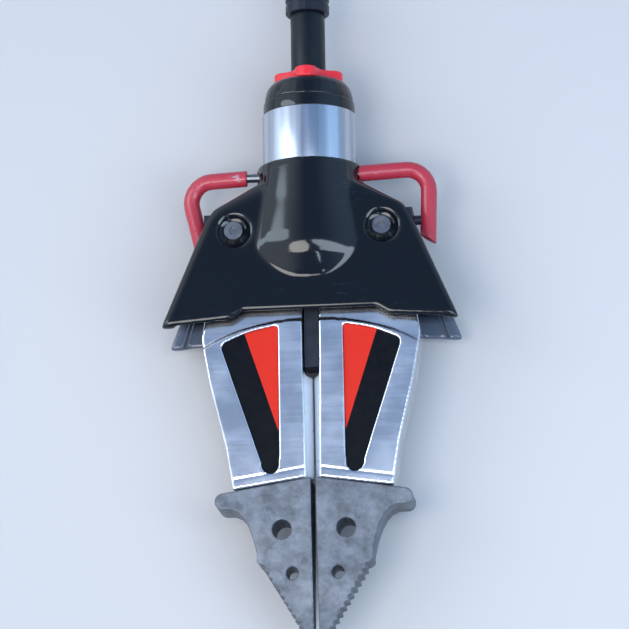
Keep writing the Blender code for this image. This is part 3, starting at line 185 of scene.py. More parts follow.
class SpreaderSizes(bpy.types.PropertyGroup):
    """Sizes of the fine shapes."""

    shell_grain: length("Shell grain", "Size of the faces that covers and rear head are rebuilt from", 0.0015)
    arm_grain: length("Arm grain", "Size of the faces that the forged arms are rebuilt from", 0.0011)
    tip_grain: length("Tip grain", "Size of the faces that tips and grips are rebuilt from", 0.0009)
    shell_softness: count("Shell softness", "Passes that soften the covers' edges", 32)
    arm_softness: count("Arm softness", "Passes that soften the edges of the arms and the star grip", 8)
    tip_softness: count("Tip softness", "Passes that soften the tips', rear head's and side grips' edges", 3)
    flank_half: length("Flank half width", "Half width of the covers' bulge where it is widest, at the beak",
                       0.0717)
    flank_middle: length("Flank middle", "From the pivots back to the ring halfway along the flanks", 0.030)
    flank_middle_half: length("Flank middle half width", "Half width of the bulge at that ring", 0.061)
    flank_depth: length("Flank depth", "How far the flanks are sunk into the covers' own bulge", 0.002)
    beak_top: length("Beak top", "From the pivots forward to the top of the beak", 0.016)
    crest_reach: length("Crest reach", "How far the beak's rounded crest reaches either way", 0.011)
    crest_softness: count("Crest softness", "Passes that round the beak's crest", 70)
    beak_foot: length("Beak foot", "From the pivots forward to the foot of the beak", 0.050)
    beak_steps: count("Beak steps", "Rings between the top and the foot of the beak", 10, least=1)
    beak_fullness: fraction("Beak fullness", "1 makes the beak's foot pointed, 2 round", 1.32, 1, 2)
    plate_height: length("Plate height", "From the tool's axis to the covers' flat plates", 0.039)
    lower_reach: length("Lower reach", "How far the lower cover's front is drawn forward", 0.008)
    # Painted sheen on the lower cover's front, for the light it catches: its reach and its fade
    sheen_reach: length("Sheen reach", "How far back the sheen painted on the lower cover's front reaches", 0.022)
    sheen_fade: length("Sheen fade", "Stretch over which the painted sheen on the lower cover fades in", 0.012)
    # Painted light on the arms' inner sides, for light falling between the arms: how far out it reaches
    painted_light_width: length("Milled width", "How far from the middle the light painted on the arms' inner sides reaches", 0.0082)
    link_share: fraction("Link share", "Thickness of the links, of their solids' own", 0.965, least=0.5)
    link_edge: length("Link edge", "Width of the broken edge on the links", 0.0022)
    red_start: fraction("Red start", "Share of the panels' length, from the front, that is all black", 0.27)
    red_width: length("Red width", "Width of the red field at the panels' rear end", 0.036)
    barrel_polish: length("Barrel polish", "How far the polished barrel lies inside its own solid", 0.0022)
    barrel_wall: length("Barrel wall", "Thickness of the barrel's wall", 0.011)
    collar_width: length("Collar width", "Stretch of the barrel that the rear head's collar covers", 0.0125)
    collar_inset: length("Collar inset", "Step from the barrel in to the rear head's collar", 0.0012)
    collar_slope: length("Collar slope", "Breadth of the collar's sloping rear edge", 0.003)
    tail_wall: length("Tail wall", "Thickness of the tail tube round the control neck", 0.0039)
    tail_bore: length("Tail bore", "Radius of the tail tube's bore behind the neck", 0.008)
    tail_socket: length("Tail socket", "How far the control neck reaches into the tail tube", 0.018)
    tail_slope: length("Tail slope", "Breadth of the tail tube's sloping front edge", 0.001)
    edge_break: length("Edge break", "Width of the broken edge on turned pieces", 0.0007)
    turned_sides: count("Turned sides", "Faces round a turned piece", 96, least=12)


class SpreaderColours(bpy.types.PropertyGroup):
    """Colours of the finishes."""

    shell: colour("Shell", "Glossy black moulding of the covers and the rear head", (0.001, 0.002, 0.004))
    scratch: colour("Scratch", "Grey of the fine scratches in the black moulding", (0.10, 0.12, 0.15))
    # Grey-blue of the painted sheen on the lower cover's front, for the light it catches
    painted_sheen: colour("Painted sheen", "Grey-blue sheen painted on the lower cover's front", (0.095, 0.112, 0.150))
    rubber: colour("Rubber", "Black rubber of the tail tube", (0.003, 0.006, 0.010))
    paint: colour("Paint", "Red paint of the side grips", (0.46, 0.030, 0.052))
    # Paler grey that the side grips' paint turns to in patches on top of the bars
    pale_top: colour("Pale top", "Paler grey in patches on top of the side grips", (0.45, 0.36, 0.38))
    plastic: colour("Plastic", "Red moulding of the star grip", (0.84, 0.022, 0.036))
    film_red: colour("Film red", "Red field of the arm panels", (0.66, 0.028, 0.015))
    film_black: colour("Film black", "Black field of the arm panels", (0.002, 0.003, 0.006))
    aluminium: colour("Aluminium", "Bright aluminium of the arms", (0.91, 0.92, 0.95))
    barrel: colour("Barrel", "Satin metal of the barrel", (0.52, 0.565, 0.64))
    steel: colour("Machined steel", "Pins, bolts and the coupling", (0.20, 0.21, 0.23))
    # Painted light: pale finish of the arms' inner sides, for the light that falls between the arms
    painted_light: colour("Painted light", "Pale faces painted on the arms' inner sides, standing for light between the arms", (0.78, 0.82, 0.87))
    cast: colour("Cast steel", "Rough grey steel of the tips", (0.148, 0.162, 0.188))
    dark: colour("Dark steel", "Blackened steel of yoke, crosshead and links", (0.030, 0.034, 0.046))
    bronze: colour("Bronze", "Bushes, gland and poppet", (0.50, 0.33, 0.15))
    floor: colour("Floor", "Pale blue-grey floor", (0.59, 0.56, 0.545))
    key_light: colour("Key light", "Light of the lamp overhead", (1.0, 0.97, 0.93))
    left_light: colour("Left light", "Light of the lamp on the left", (0.72, 0.87, 1.0))
    right_light: colour("Right light", "Light of the lamps on the right and in front", (0.74, 0.87, 1.0))
    sky: colour("Sky", "Even light overhead", (0.16, 0.24, 0.40))
    sky_left: colour("Left sky", "Paler even light on the left", (0.74, 0.84, 1.0))
    sky_right: colour("Right sky", "Bluer even light on the right", (0.36, 0.56, 0.84))


class StudioSettings(bpy.types.PropertyGroup):
    """Camera and lamps."""

    azimuth: angle("Azimuth", "Camera's bearing round the tool, 0 at the tips", 21.8)
    elevation: angle("Elevation", "Camera's height above the floor", 75.2)
    roll: angle("Roll", "Camera's turn about its own line of sight", -23.45)
    distance: length("Distance", "From the camera to the point it aims at", 3.594)
    aim_right: offset("Aim right", "Aim beside the tool's middle in the picture", 0.0022)
    aim_up: offset("Aim up", "Aim above the tool's middle in the picture", -0.0115)
    lens: FloatProperty(name="Lens", description="Focal length in millimetres, for a 36 mm wide sensor",
                        default=200.3, min=1)
    key_power: lamp_power("Key power", "Power of the lamp overhead", 12.0)
    key_size: length("Key size", "Width of the lamp overhead", 0.9)
    key_place: lamp_place("Key place", "Where the lamp overhead hangs", (-0.50, -0.46, 1.87))
    left_power: lamp_power("Left power", "Power of the lamp on the left", 5.5)
    left_size: lamp_size("Left size", "Breadth and height of the lamp on the left", (0.45, 1.2))
    left_place: lamp_place("Left place", "Where the lamp on the left hangs", (-1.20, 0.40, 1.15))
    right_power: lamp_power("Right power", "Power of the lamp on the right", 13.0)
    right_size: lamp_size("Right size", "Breadth and height of the lamp on the right", (0.5, 1.9))
    right_place: lamp_place("Right place", "Where the lamp on the right hangs", (0.78, -0.36, 1.30))
    front_power: lamp_power("Front power", "Power of the narrow lamp in front", 1.0)
    front_size: lamp_size("Front size", "Breadth and height of the lamp in front", (0.05, 0.7))
    front_place: lamp_place("Front place", "Where the lamp in front hangs", (0.30, -1.01, 1.58))
    sky_strength: FloatProperty(name="Sky strength", description="Strength of the even light", default=1.35,
                                min=0)


def sizes():
    return bpy.context.scene.spreader_sizes


def colours():
    return bpy.context.scene.spreader_colours


# Working as by hand


def object_mode():
    if bpy.context.object and bpy.context.object.mode != "OBJECT":
        bpy.ops.object.mode_set(mode="OBJECT")


def select_only(*objs):
    object_mode()
    bpy.ops.object.select_all(action="DESELECT")
    for obj in objs:
        obj.select_set(True)
    bpy.context.view_layer.objects.active = objs[0]


def edit_all(obj):
    """Edit mode on obj with all of its mesh selected."""
    select_only(obj)
    bpy.ops.object.mode_set(mode="EDIT")
    bpy.ops.mesh.select_all(action="SELECT")


def edit_corners(obj, chosen):
    """Edit mode on obj with only those corners selected whose place passes the test in chosen."""
    select_only(obj)
    bpy.ops.object.mode_set(mode="EDIT")
    bpy.ops.mesh.select_mode(type="VERT")
    bpy.ops.mesh.select_all(action="DESELECT")
    object_mode()
    for corner in obj.data.vertices:
        corner.select = chosen(corner.co)
    bpy.ops.object.mode_set(mode="EDIT")


def settle(obj):
    """Put the object's place into its mesh."""
    select_only(obj)
    bpy.ops.object.transform_apply(location=True, rotation=True, scale=True)


def apply_modifiers(obj):
    select_only(obj)
    for modifier in list(obj.modifiers):
        bpy.ops.object.modifier_apply(modifier=modifier.name)


def copy_of_node(node, name):
    """A piece that starts as a CAD node's own form, with its loose triangles merged."""
    source = frame["nodes"][node]
    piece = bpy.data.objects.new(name, source.data.copy())
    bpy.context.scene.collection.objects.link(piece)
    piece.data.materials.clear()
    edit_all(piece)
    bpy.ops.mesh.remove_doubles(threshold=MERGE_DISTANCE)
    object_mode()
    return piece


def rebuild_softly(piece, grain, passes):
    """Rebuild a merged form in small even faces and soften its edges, as on a moulding or a forging."""
    remesh = piece.modifiers.new("grain", "REMESH")
    remesh.mode = "VOXEL"
    remesh.voxel_size = grain
    smooth = piece.modifiers.new("softness", "SMOOTH")
    smooth.factor = SMOOTHING
    smooth.iterations = passes
    apply_modifiers(piece)
    select_only(piece)
    bpy.ops.object.shade_smooth()
    return piece


def soft_copy(node, name, grain, passes):
    """A CAD node's own form with soft edges."""
    return rebuild_softly(copy_of_node(node, name), grain, passes)


def break_edges(piece, width):
    bevel = piece.modifiers.new("edge", "BEVEL")
    bevel.width = width
    bevel.segments = BREAK_ROWS
    bevel.limit_method = "ANGLE"
    bevel.angle_limit = BREAK_ANGLE
    apply_modifiers(piece)
    select_only(piece)
    bpy.ops.object.shade_smooth_by_angle(angle=SHARP_ANGLE)
    return piece


def lofted(name, stations, closed=False):
    """A body along the tool's axis: one ring, extruded and resized from station to station of (y, half width,
    half height). Closed, it is a tube's wall, whose last station is its first."""
    start_y, start_x, start_z = stations[0]
    bpy.ops.mesh.primitive_circle_add(vertices=sizes().turned_sides, radius=start_x,
                                      fill_type="NOTHING" if closed else "NGON",
                                      location=(0, start_y, AXIS_Z), rotation=(math.pi / 2, 0, 0))
    piece = bpy.context.object
    piece.name = name
    settle(piece)
    bpy.ops.object.mode_set(mode="EDIT")
    bpy.ops.mesh.select_mode(type="EDGE")
    bpy.ops.mesh.select_all(action="SELECT")
    bpy.ops.transform.resize(value=(1, 1, start_z / start_x), center_override=(0, start_y, AXIS_Z))
    for (y, half_x, half_z), (next_y, next_x, next_z) in zip(stations, stations[1:]):
        bpy.ops.mesh.extrude_region_move(TRANSFORM_OT_translate={"value": (0, next_y - y, 0)})
        bpy.ops.transform.resize(value=(next_x / half_x, 1, next_z / half_z),
                                 center_override=(0, next_y, AXIS_Z))
    if closed:
        bpy.ops.mesh.select_all(action="SELECT")
        bpy.ops.mesh.remove_doubles(threshold=MERGE_DISTANCE)
    bpy.ops.mesh.select_all(action="SELECT")
    bpy.ops.mesh.normals_make_consistent(inside=False)
    object_mode()
    return piece


def turned(name, stations, closed=False):
    """A body turned about the tool's axis, from stations of (y, radius)."""
    return lofted(name, [(y, radius, radius) for y, radius in stations], closed)


def turned_tube(name, outside, inside):
    """A tube turned about the tool's axis, with broken edges. Its stations run back along the outside and
    forward again along the inside."""
    tube = turned(name, [*outside, *inside, outside[0]], closed=True)
    return break_edges(tube, sizes().edge_break)


def take_away(piece, cutter):
    """Cut one piece with another, and put the cutter away."""
    cut = piece.modifiers.new("cut", "BOOLEAN")
    cut.operation = "DIFFERENCE"
    cut.solver = "EXACT"
    cut.object = cutter
    apply_modifiers(piece)
    select_only(cutter)
    bpy.ops.object.delete()


def join_into(piece, *others):
    select_only(piece, *others)
    bpy.ops.object.join()


def dress(piece, material, body, *nodes):
    """Give a finished piece its material, its body and the nodes that it takes the place of."""
    piece.data.materials.clear()
    piece.data.materials.append(material)
    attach(piece, body)
    if nodes:
        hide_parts(*nodes)


def paint_node(node, material):
    data = frame["nodes"][node].data
    data.materials.clear()
    data.materials.append(material)


# Materials


def shaded(base, share):
    """A colour made darker or brighter, and no brighter than white."""
    return [min(1, share * part) for part in base]


class Finish:
    """A Principled material, with short ways to drive its sockets by patterns in object coordinates."""

    def __init__(self, name, base, roughness, metallic=0.0, coat=0.0, specular=0.5):
        self.material = bpy.data.materials.new(name)
        self.material.use_nodes = True
        self.nodes = self.material.node_tree.nodes
        self.links = self.material.node_tree.links
        self.shader = self.nodes["Principled BSDF"]
        self.shader.inputs["Base Color"].default_value = (*base, 1)
        self.shader.inputs["Roughness"].default_value = roughness
        self.shader.inputs["Metallic"].default_value = metallic
        self.shader.inputs["Coat Weight"].default_value = coat
        self.shader.inputs["Specular IOR Level"].default_value = specular
        self.coordinates = self.nodes.new("ShaderNodeTexCoord").outputs["Object"]

    def noise(self, scale, detail, roughness=0.5, stretch=(1, 1, 1), turn=(0, 0, 0)):
        """Cloudy pattern, finer along an axis that is stretched more."""
        mapping = self.nodes.new("ShaderNodeMapping")
        mapping.inputs["Scale"].default_value = stretch
        mapping.inputs["Rotation"].default_value = turn
        self.links.new(self.coordinates, mapping.inputs["Vector"])
        texture = self.nodes.new("ShaderNodeTexNoise")
        texture.inputs["Scale"].default_value = scale
        texture.inputs["Detail"].default_value = detail
        texture.inputs["Roughness"].default_value = roughness
        self.links.new(mapping.outputs["Vector"], texture.inputs["Vector"])
        return texture.outputs["Fac"]

    def ramp(self, value, source, result=(0, 1)):
        """Map value from the source pair to the result pair, held at both ends."""
        node = self.nodes.new("ShaderNodeMapRange")
        node.inputs["From Min"].default_value, node.inputs["From Max"].default_value = source
        node.inputs["To Min"].default_value, node.inputs["To Max"].default_value = result
        self.links.new(value, node.inputs["Value"])
        return node.outputs["Result"]

    def combine(self, operation, *values):
        node = self.nodes.new("ShaderNodeMath")
        node.operation = operation
        for socket, value in zip(node.inputs, values):
            self.links.new(value, socket)
        return node.outputs["Value"]

    def product(self, first, *others):
        for other in others:
            first = self.combine("MULTIPLY", first, other)
        return first

    def mix(self, share, first, second):
        """From the first colour or pattern to the second, by share."""
        node = self.nodes.new("ShaderNodeMix")
        node.data_type = "RGBA"
        self.links.new(share, node.inputs["Factor"])
        for key, value in ((MIX_FIRST, first), (MIX_SECOND, second)):
            if isinstance(value, bpy.types.NodeSocket):
                self.links.new(value, node.inputs[key])
            else:
                node.inputs[key].default_value = (*value, 1)
        return node.outputs[MIX_RESULT]

    def axis(self, name):
        node = self.nodes.new("ShaderNodeSeparateXYZ")
        self.links.new(self.coordinates, node.inputs["Vector"])
        return node.outputs[name]

    def drive(self, socket, value):
        self.links.new(value, self.shader.inputs[socket])

    def bump(self, height, strength, distance):
        node = self.nodes.new("ShaderNodeBump")
        node.inputs["Strength"].default_value = strength
        node.inputs["Distance"].default_value = distance
        self.links.new(height, node.inputs["Height"])
        self.drive("Normal", node.outputs["Normal"])


finishes = {}

# Finish of each of the record's material slots
FINISH_OF_SLOT = {
    "black_shell": "shell",
    "black_rubber": "rubber",
    "red_paint": "paint",
    "red_plastic": "plastic",
    "panel_film": "film_black",
    "bright_aluminium": "aluminium",
    "machined_steel": "steel",
    "cast_steel": "cast",
    "dark_steel": "dark",
    "bronze": "bronze",
}


def shell_finish(name, sheen_from=None):
    """Glossy black moulding with a few fine scratches. In front of the given place along Y it turns grey-blue:
    a painted sheen, standing for the light that the lower cover's open front catches.
    """
    finish = Finish(name, colours().shell, roughness=0.12, specular=0.55)
    hairs = finish.noise(scale=70, detail=2, stretch=(1, 12, 1), turn=(0, 0, 0.9))
    places = finish.noise(scale=11, detail=3)
    marks = finish.product(finish.ramp(hairs, (0.62, 0.70)), finish.ramp(places, (0.54, 0.66)))
    finish.drive("Roughness", finish.ramp(marks, (0, 1), (0.10, 0.26)))
    base = finish.mix(finish.ramp(marks, (0, 1), (0, 0.35)), colours().shell, colours().scratch)
    # Painted sheen: the front turns grey-blue, for the light that the lower cover's open front catches
    if sheen_from is not None:
        painted_sheen = finish.ramp(finish.axis("Y"), (sheen_from, sheen_from - sizes().sheen_fade))
        base = finish.mix(painted_sheen, base, colours().painted_sheen)
    finish.drive("Base Color", base)
    finish.bump(finish.noise(scale=9, detail=2, roughness=0.4), strength=0.04, distance=0.002)
    return finish.material


def rubber_finish():
    finish = Finish("black rubber", colours().rubber, roughness=0.36, specular=0.35)
    finish.drive("Roughness", finish.ramp(finish.noise(scale=60, detail=4), (0.3, 0.7), (0.28, 0.46)))
    return finish.material


def paint_finish():
    """Red paint that turns paler grey in patches on top of the bars, near their inner ends and outer legs."""
    finish = Finish("red paint, paler on top", colours().paint, roughness=0.3, coat=0.2)
    patch = finish.noise(scale=70, detail=6, roughness=0.65, stretch=(1, 3, 3))
    height = finish.ramp(finish.axis("Z"), [AXIS_Z + up for up in PALE_TOP_UP])
    across = finish.combine("ABSOLUTE", finish.axis("X"))
    top_region = finish.product(finish.ramp(across, PALE_TOP_INNER), finish.ramp(across, PALE_TOP_OUTER), height)
    pale_top = finish.ramp(finish.product(top_region, finish.ramp(patch, (0.40, 0.60))), (0.25, 0.7))
    finish.drive("Base Color", finish.mix(pale_top, colours().paint, colours().pale_top))
    finish.drive("Roughness", finish.ramp(finish.noise(scale=45, detail=3), (0.3, 0.7), (0.22, 0.40)))
    return finish.material


def plastic_finish():
    finish = Finish("red moulding", colours().plastic, roughness=0.32)
    finish.bump(finish.noise(scale=300, detail=2), strength=0.1, distance=0.0004)
    return finish.material


# Painted light: a pale, less metallic copy of the arm metal, so that the inner sides look lit
def painted_light_finish():
    finish = Finish("inner face with painted light", colours().painted_light, roughness=0.34, metallic=0.3)
    finish.drive("Roughness", finish.ramp(finish.noise(scale=40, detail=3), (0.3, 0.7), (0.26, 0.42)))
    return finish.material


def film_finish(name, base):
    finish = Finish(name, base, roughness=0.34, specular=0.12)
    clouds = finish.noise(scale=120, detail=5, roughness=0.6)
    finish.drive("Roughness", finish.ramp(clouds, (0.35, 0.65), (0.28, 0.42)))
    return finish.material


def aluminium_finish():
    """Bright forged aluminium with faint lines across it, from handling and dressing."""
    base = colours().aluminium
    finish = Finish("bright aluminium", base, roughness=0.26, metallic=1.0)
    lines = finish.noise(scale=7, detail=4, roughness=0.6, stretch=(1, 14, 1))
    clouds = finish.noise(scale=22, detail=4, roughness=0.55)
    finish.drive("Roughness", finish.ramp(clouds, (0.3, 0.7), (0.15, 0.21)))
    tone = finish.ramp(finish.product(lines, clouds), (0.18, 0.34))
    finish.drive("Base Color", finish.mix(tone, shaded(base, 0.80), base))
    grain = finish.noise(scale=160, detail=5, roughness=0.6, stretch=(0.4, 2, 1))
    finish.bump(grain, strength=0.05, distance=0.0006)
    return finish.material


def barrel_finish():
    """Satin tube with faint streaks along its length."""
    base = colours().barrel
    finish = Finish("ground barrel", base, roughness=0.30, metallic=1.0)
    streaks = finish.noise(scale=90, detail=2, stretch=(1, 0.02, 1))
    finish.drive("Roughness", finish.ramp(streaks, (0.35, 0.65), (0.20, 0.36)))
    tone = finish.ramp(streaks, (0.40, 0.62))
    finish.drive("Base Color", finish.mix(tone, shaded(base, 0.82), shaded(base, 1.12)))
    return finish.material


def steel_finish():
    finish = Finish("machined steel", colours().steel, roughness=0.30, metallic=1.0)
    finish.drive("Roughness", finish.ramp(finish.noise(scale=120, detail=4), (0.3, 0.7), (0.24, 0.42)))
    return finish.material


def cast_finish():
    """Rough grey casting, mottled, with smoother rubbed places."""
    base = colours().cast
    finish = Finish("cast steel", base, roughness=0.5, metallic=0.55)
    mottle = finish.noise(scale=55, detail=8, roughness=0.7)
    rubbed = finish.noise(scale=14, detail=4, roughness=0.6)
    tone = finish.ramp(mottle, (0.36, 0.64))
    finish.drive("Base Color", finish.mix(tone, shaded(base, 0.62), shaded(base, 1.35)))
    finish.drive("Roughness", finish.ramp(rubbed, (0.35, 0.65), (0.38, 0.62)))
    finish.bump(finish.noise(scale=180, detail=8, roughness=0.7), strength=0.45, distance=0.0012)
    return finish.material


def dark_finish():
    finish = Finish("blackened steel", colours().dark, roughness=0.36, metallic=0.7)
    finish.drive("Roughness", finish.ramp(finish.noise(scale=70, detail=4), (0.3, 0.7), (0.28, 0.48)))
    return finish.material


def bronze_finish():
    return Finish("bronze", colours().bronze, roughness=0.32, metallic=1.0).material


def make_finishes():
    # Where the painted sheen on the lower cover's front begins
    sheen_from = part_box("lower_cover")[0].y + sizes().sheen_reach
    finishes.update({
        "shell": shell_finish("black shell"),
        "rubber": rubber_finish(),
        "paint": paint_finish(),
        "plastic": plastic_finish(),
        "aluminium": aluminium_finish(),
        "barrel": barrel_finish(),
        # Pale finish of the arms' inner sides: painted light
        "painted_light": painted_light_finish(),
        "steel": steel_finish(),
        "cast": cast_finish(),
        "dark": dark_finish(),
        "bronze": bronze_finish(),
        # Black shell with a painted sheen on its front, for the lower cover
        "shell_with_painted_sheen": shell_finish("black shell with painted sheen", sheen_from),
        "film_red": film_finish("red film", colours().film_red),
        "film_black": film_finish("black film", colours().film_black),
    })


# Operators


class SPREADER_OT_finishes(bpy.types.Operator):
    """Make the materials and put them on the CAD nodes"""

    bl_idname = "spreader.finishes"
    bl_label = "Make finishes"

    def execute(self, context):
        make_finishes()
        for part in frame["record"]["subparts"]:
            paint_node(part["node"], finishes[FINISH_OF_SLOT[part["material_slot"]]])
        return {"FINISHED"}


class SPREADER_OT_covers(bpy.types.Operator):
    """Mould the two covers with soft edges"""

    bl_idname = "spreader.covers"
    bl_label = "Make covers"

    def execute(self, context):
        for face, up in FACES.items():
            node = f"{face}_cover"
            shell = copy_of_node(node, f"{node}_moulding")
            if up < 0:
                self.pull_front(shell)
            join_into(shell, self.make_flanks(node, up))
            rebuild_softly(shell, sizes().shell_grain, sizes().shell_softness)
            self.round_crest(shell, up)
            # The lower cover takes the shell with the painted sheen on its front
            dress(shell, finishes["shell" if up > 0 else "shell_with_painted_sheen"], HOUSING, node)
        return {"FINISHED"}

    def pull_front(self, shell):
        """Draw the front of the lower cover forward."""
        front_y = min(corner.co.y for corner in shell.data.vertices)
        edit_corners(shell, lambda place: place.y < front_y + FRONT_STRETCH)
        bpy.ops.transform.translate(value=(0, -sizes().lower_reach, 0))
        object_mode()

    def round_crest(self, shell, up):
        """Smooth the crest over the beak into a broad round."""
        crest = sizes()
        crest_y = PIVOT_Y - crest.beak_top
        crest_foot = crest.plate_height + crest.flank_depth

        def on_crest(place):
            return abs(crest_y - place.y) < crest.crest_reach and up * (place.z - AXIS_Z) > crest_foot

        edit_corners(shell, on_crest)
        bpy.ops.mesh.vertices_smooth(factor=SMOOTHING, repeat=crest.crest_softness)
        object_mode()

    def make_flanks(self, node, up):
        """The broad flanks that carry the bulge down to the plate on both sides, and end in the beak."""
        flank = sizes()
        top_y = PIVOT_Y - flank.beak_top
        foot_y = PIVOT_Y - flank.beak_foot
        rear_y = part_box(node)[1].y
        outside = [(rear_y - FLANK_INSET, BULGE_RADIUS, BULGE_RADIUS),
                   (PIVOT_Y + flank.flank_middle, flank.flank_middle_half, BULGE_RADIUS),
                   (top_y, flank.flank_half, BULGE_RADIUS)]
        fall = BULGE_RADIUS ** 2 - flank.plate_height ** 2
        for step in range(1, flank.beak_steps + 1):
            share = step / flank.beak_steps
            half_z = math.sqrt(flank.plate_height ** 2 + fall * (1 - share ** flank.beak_fullness))
            half_x = half_z * flank.flank_half / BULGE_RADIUS
            outside.append((top_y + share * (foot_y - top_y), half_x, half_z))
        bulge = [(rear_y + CUT_OVERRUN, BULGE_RADIUS), (top_y, BULGE_RADIUS),
                 (foot_y - CUT_OVERRUN, flank.plate_height)]
        inside = [(y, radius - flank.flank_depth) for y, radius in bulge]
        flanks = lofted(f"{node}_flanks", outside)
        take_away(flanks, turned(f"{node}_flank_cutter", inside))
        edit_all(flanks)
        bpy.ops.mesh.bisect(plane_co=(0, 0, AXIS_Z + up * (flank.plate_height - flank.flank_depth)),
                            plane_no=(0, 0, up), use_fill=True, clear_inner=True)
        object_mode()
        return flanks


class SPREADER_OT_arms(bpy.types.Operator):
    """Forge the two arms with soft edges and paint light on their inner sides"""

    bl_idname = "spreader.arms"
    bl_label = "Make arms"

    def execute(self, context):
        for word in SIDES:
            arm = soft_copy(f"{word}_arm", f"{word}_arm_forging", sizes().arm_grain, sizes().arm_softness)
            dress(arm, finishes["aluminium"], arm_body(word), f"{word}_arm")
            self.paint_light_on_inner_side(arm)
        return {"FINISHED"}

    def paint_light_on_inner_side(self, arm):
        """Give the arm's inner side, where it nears the middle, a paler finish: painted light, standing for the
        light that falls between the arms.
        """
        painted_light = len(arm.data.materials)
        arm.data.materials.append(finishes["painted_light"])
        for face in arm.data.polygons:
            if abs(face.center.x) < sizes().painted_light_width and face.center.y < PIVOT_Y:
                face.material_index = painted_light


class SPREADER_OT_links(bpy.types.Operator):
    """Thin the links between the crosshead and the arms and break their edges"""

    bl_idname = "spreader.links"
    bl_label = "Make links"

    def execute(self, context):
        for word in SIDES:
            link = copy_of_node(f"{word}_link", f"{word}_link_forging")
            edit_all(link)
            bpy.ops.transform.resize(value=(1, 1, sizes().link_share), center_override=(0, 0, AXIS_Z))
            object_mode()
            break_edges(link, sizes().link_edge)
            dress(link, finishes["dark"], link_body(word), f"{word}_link")
        return {"FINISHED"}


class SPREADER_OT_tips(bpy.types.Operator):
    """Cast the two tips"""

    bl_idname = "spreader.tips"
    bl_label = "Make tips"

    def execute(self, context):
        for word in SIDES:
            tip = soft_copy(f"{word}_tip", f"{word}_tip_casting", sizes().tip_grain, sizes().tip_softness)
            dress(tip, finishes["cast"], arm_body(word), f"{word}_tip")
        return {"FINISHED"}


class SPREADER_OT_panels(bpy.types.Operator):
    """Lay the red field over the black panel in each pocket"""

    bl_idname = "spreader.panels"
    bl_label = "Make panels"

    def execute(self, context):
        for word, side in SIDES.items():
            for face, up in FACES.items():
                self.make_red_field(word, side, face, up)
        return {"FINISHED"}

    def make_red_field(self, word, side, face, up):
        """The panel's own form, cut along the slanted line between its red and its black."""
        node = f"{word}_{face}_panel"
        low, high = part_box(node)
        field = copy_of_node(node, f"{node}_red")
        inner_x = high.x if side < 0 else low.x
        front_end = Vector((inner_x, low.y + sizes().red_start * (high.y - low.y), low.z))
        rear_end = Vector((inner_x + side * sizes().red_width, high.y, low.z))
        along = (rear_end - front_end).normalized()
        outward = Vector((along.y, -along.x, 0)) * side
        edit_all(field)
        bpy.ops.mesh.bisect(plane_co=front_end, plane_no=outward, use_fill=True, clear_outer=True)
        bpy.ops.mesh.select_all(action="SELECT")
        bpy.ops.transform.translate(value=(0, 0, up * FILM_STEP))
        object_mode()
        dress(field, finishes["film_red"], arm_body(word))


class SPREADER_OT_cylinder(bpy.types.Operator):
    """Turn the barrel and the collar behind it, and mould the rear head"""

    bl_idname = "spreader.cylinder"
    bl_label = "Make cylinder"

    def execute(self, context):
        low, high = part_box("barrel")
        radius = (high.x - low.x) / 2 - sizes().barrel_polish
        bore = radius - sizes().barrel_wall
        rear = high.y - sizes().collar_width
        barrel = turned_tube("barrel_tube", [(low.y, radius), (rear, radius)], [(rear, bore), (low.y, bore)])
        dress(barrel, finishes["barrel"], HOUSING, "barrel")
        self.make_head()
        self.make_collar(rear, high.y, radius - sizes().collar_inset, bore)
        return {"FINISHED"}

    def make_head(self):
        head = soft_copy("rear_head", "rear_head_moulding", sizes().shell_grain, sizes().tip_softness)
        dress(head, finishes["shell"], HOUSING, "rear_head")

    def make_collar(self, front, rear, outer, inner):
        """Black collar of the rear head, in place of the barrel's rear end."""
        slope = sizes().collar_slope
        collar = turned_tube("rear_head_collar",
                             [(front, outer), (rear, outer), (rear + slope, outer - slope)],
                             [(rear + slope, inner), (front, inner)])
        dress(collar, finishes["shell"], HOUSING)


class SPREADER_OT_star_grip(bpy.types.Operator):
    """Mould the star grip"""

    bl_idname = "spreader.star_grip"
    bl_label = "Make star grip"

    def execute(self, context):
        grip = soft_copy("star_grip", "star_grip_moulding", sizes().tip_grain, sizes().arm_softness)
        dress(grip, finishes["plastic"], STAR, "star_grip")
        return {"FINISHED"}


class SPREADER_OT_tail(bpy.types.Operator):
    """Turn the tail tube"""

    bl_idname = "spreader.tail"
    bl_label = "Make tail"

    def execute(self, context):
        low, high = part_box("tail_tube")
        radius = (high.x - low.x) / 2
        neck = radius - sizes().tail_wall
        bore = sizes().tail_bore
        slope = sizes().tail_slope
        socket = low.y + sizes().tail_socket
        tube = turned_tube("tail_sleeve",
                           [(low.y, radius - slope), (low.y + slope, radius), (high.y, radius)],
                           [(high.y, bore), (socket, bore), (socket, neck), (low.y, neck)])
        dress(tube, finishes["rubber"], TAIL, "tail_tube")
        return {"FINISHED"}


class SPREADER_OT_side_grips(bpy.types.Operator):
    """Soften and paint the two bent side grips"""

    bl_idname = "spreader.side_grips"
    bl_label = "Make side grips"

    def execute(self, context):
        for word in SIDES:
            node = f"{word}_side_grip"
            grip = soft_copy(node, f"{word}_grip_tube", sizes().tip_grain, sizes().tip_softness)
            dress(grip, finishes["paint"], HOUSING, node)
        return {"FINISHED"}


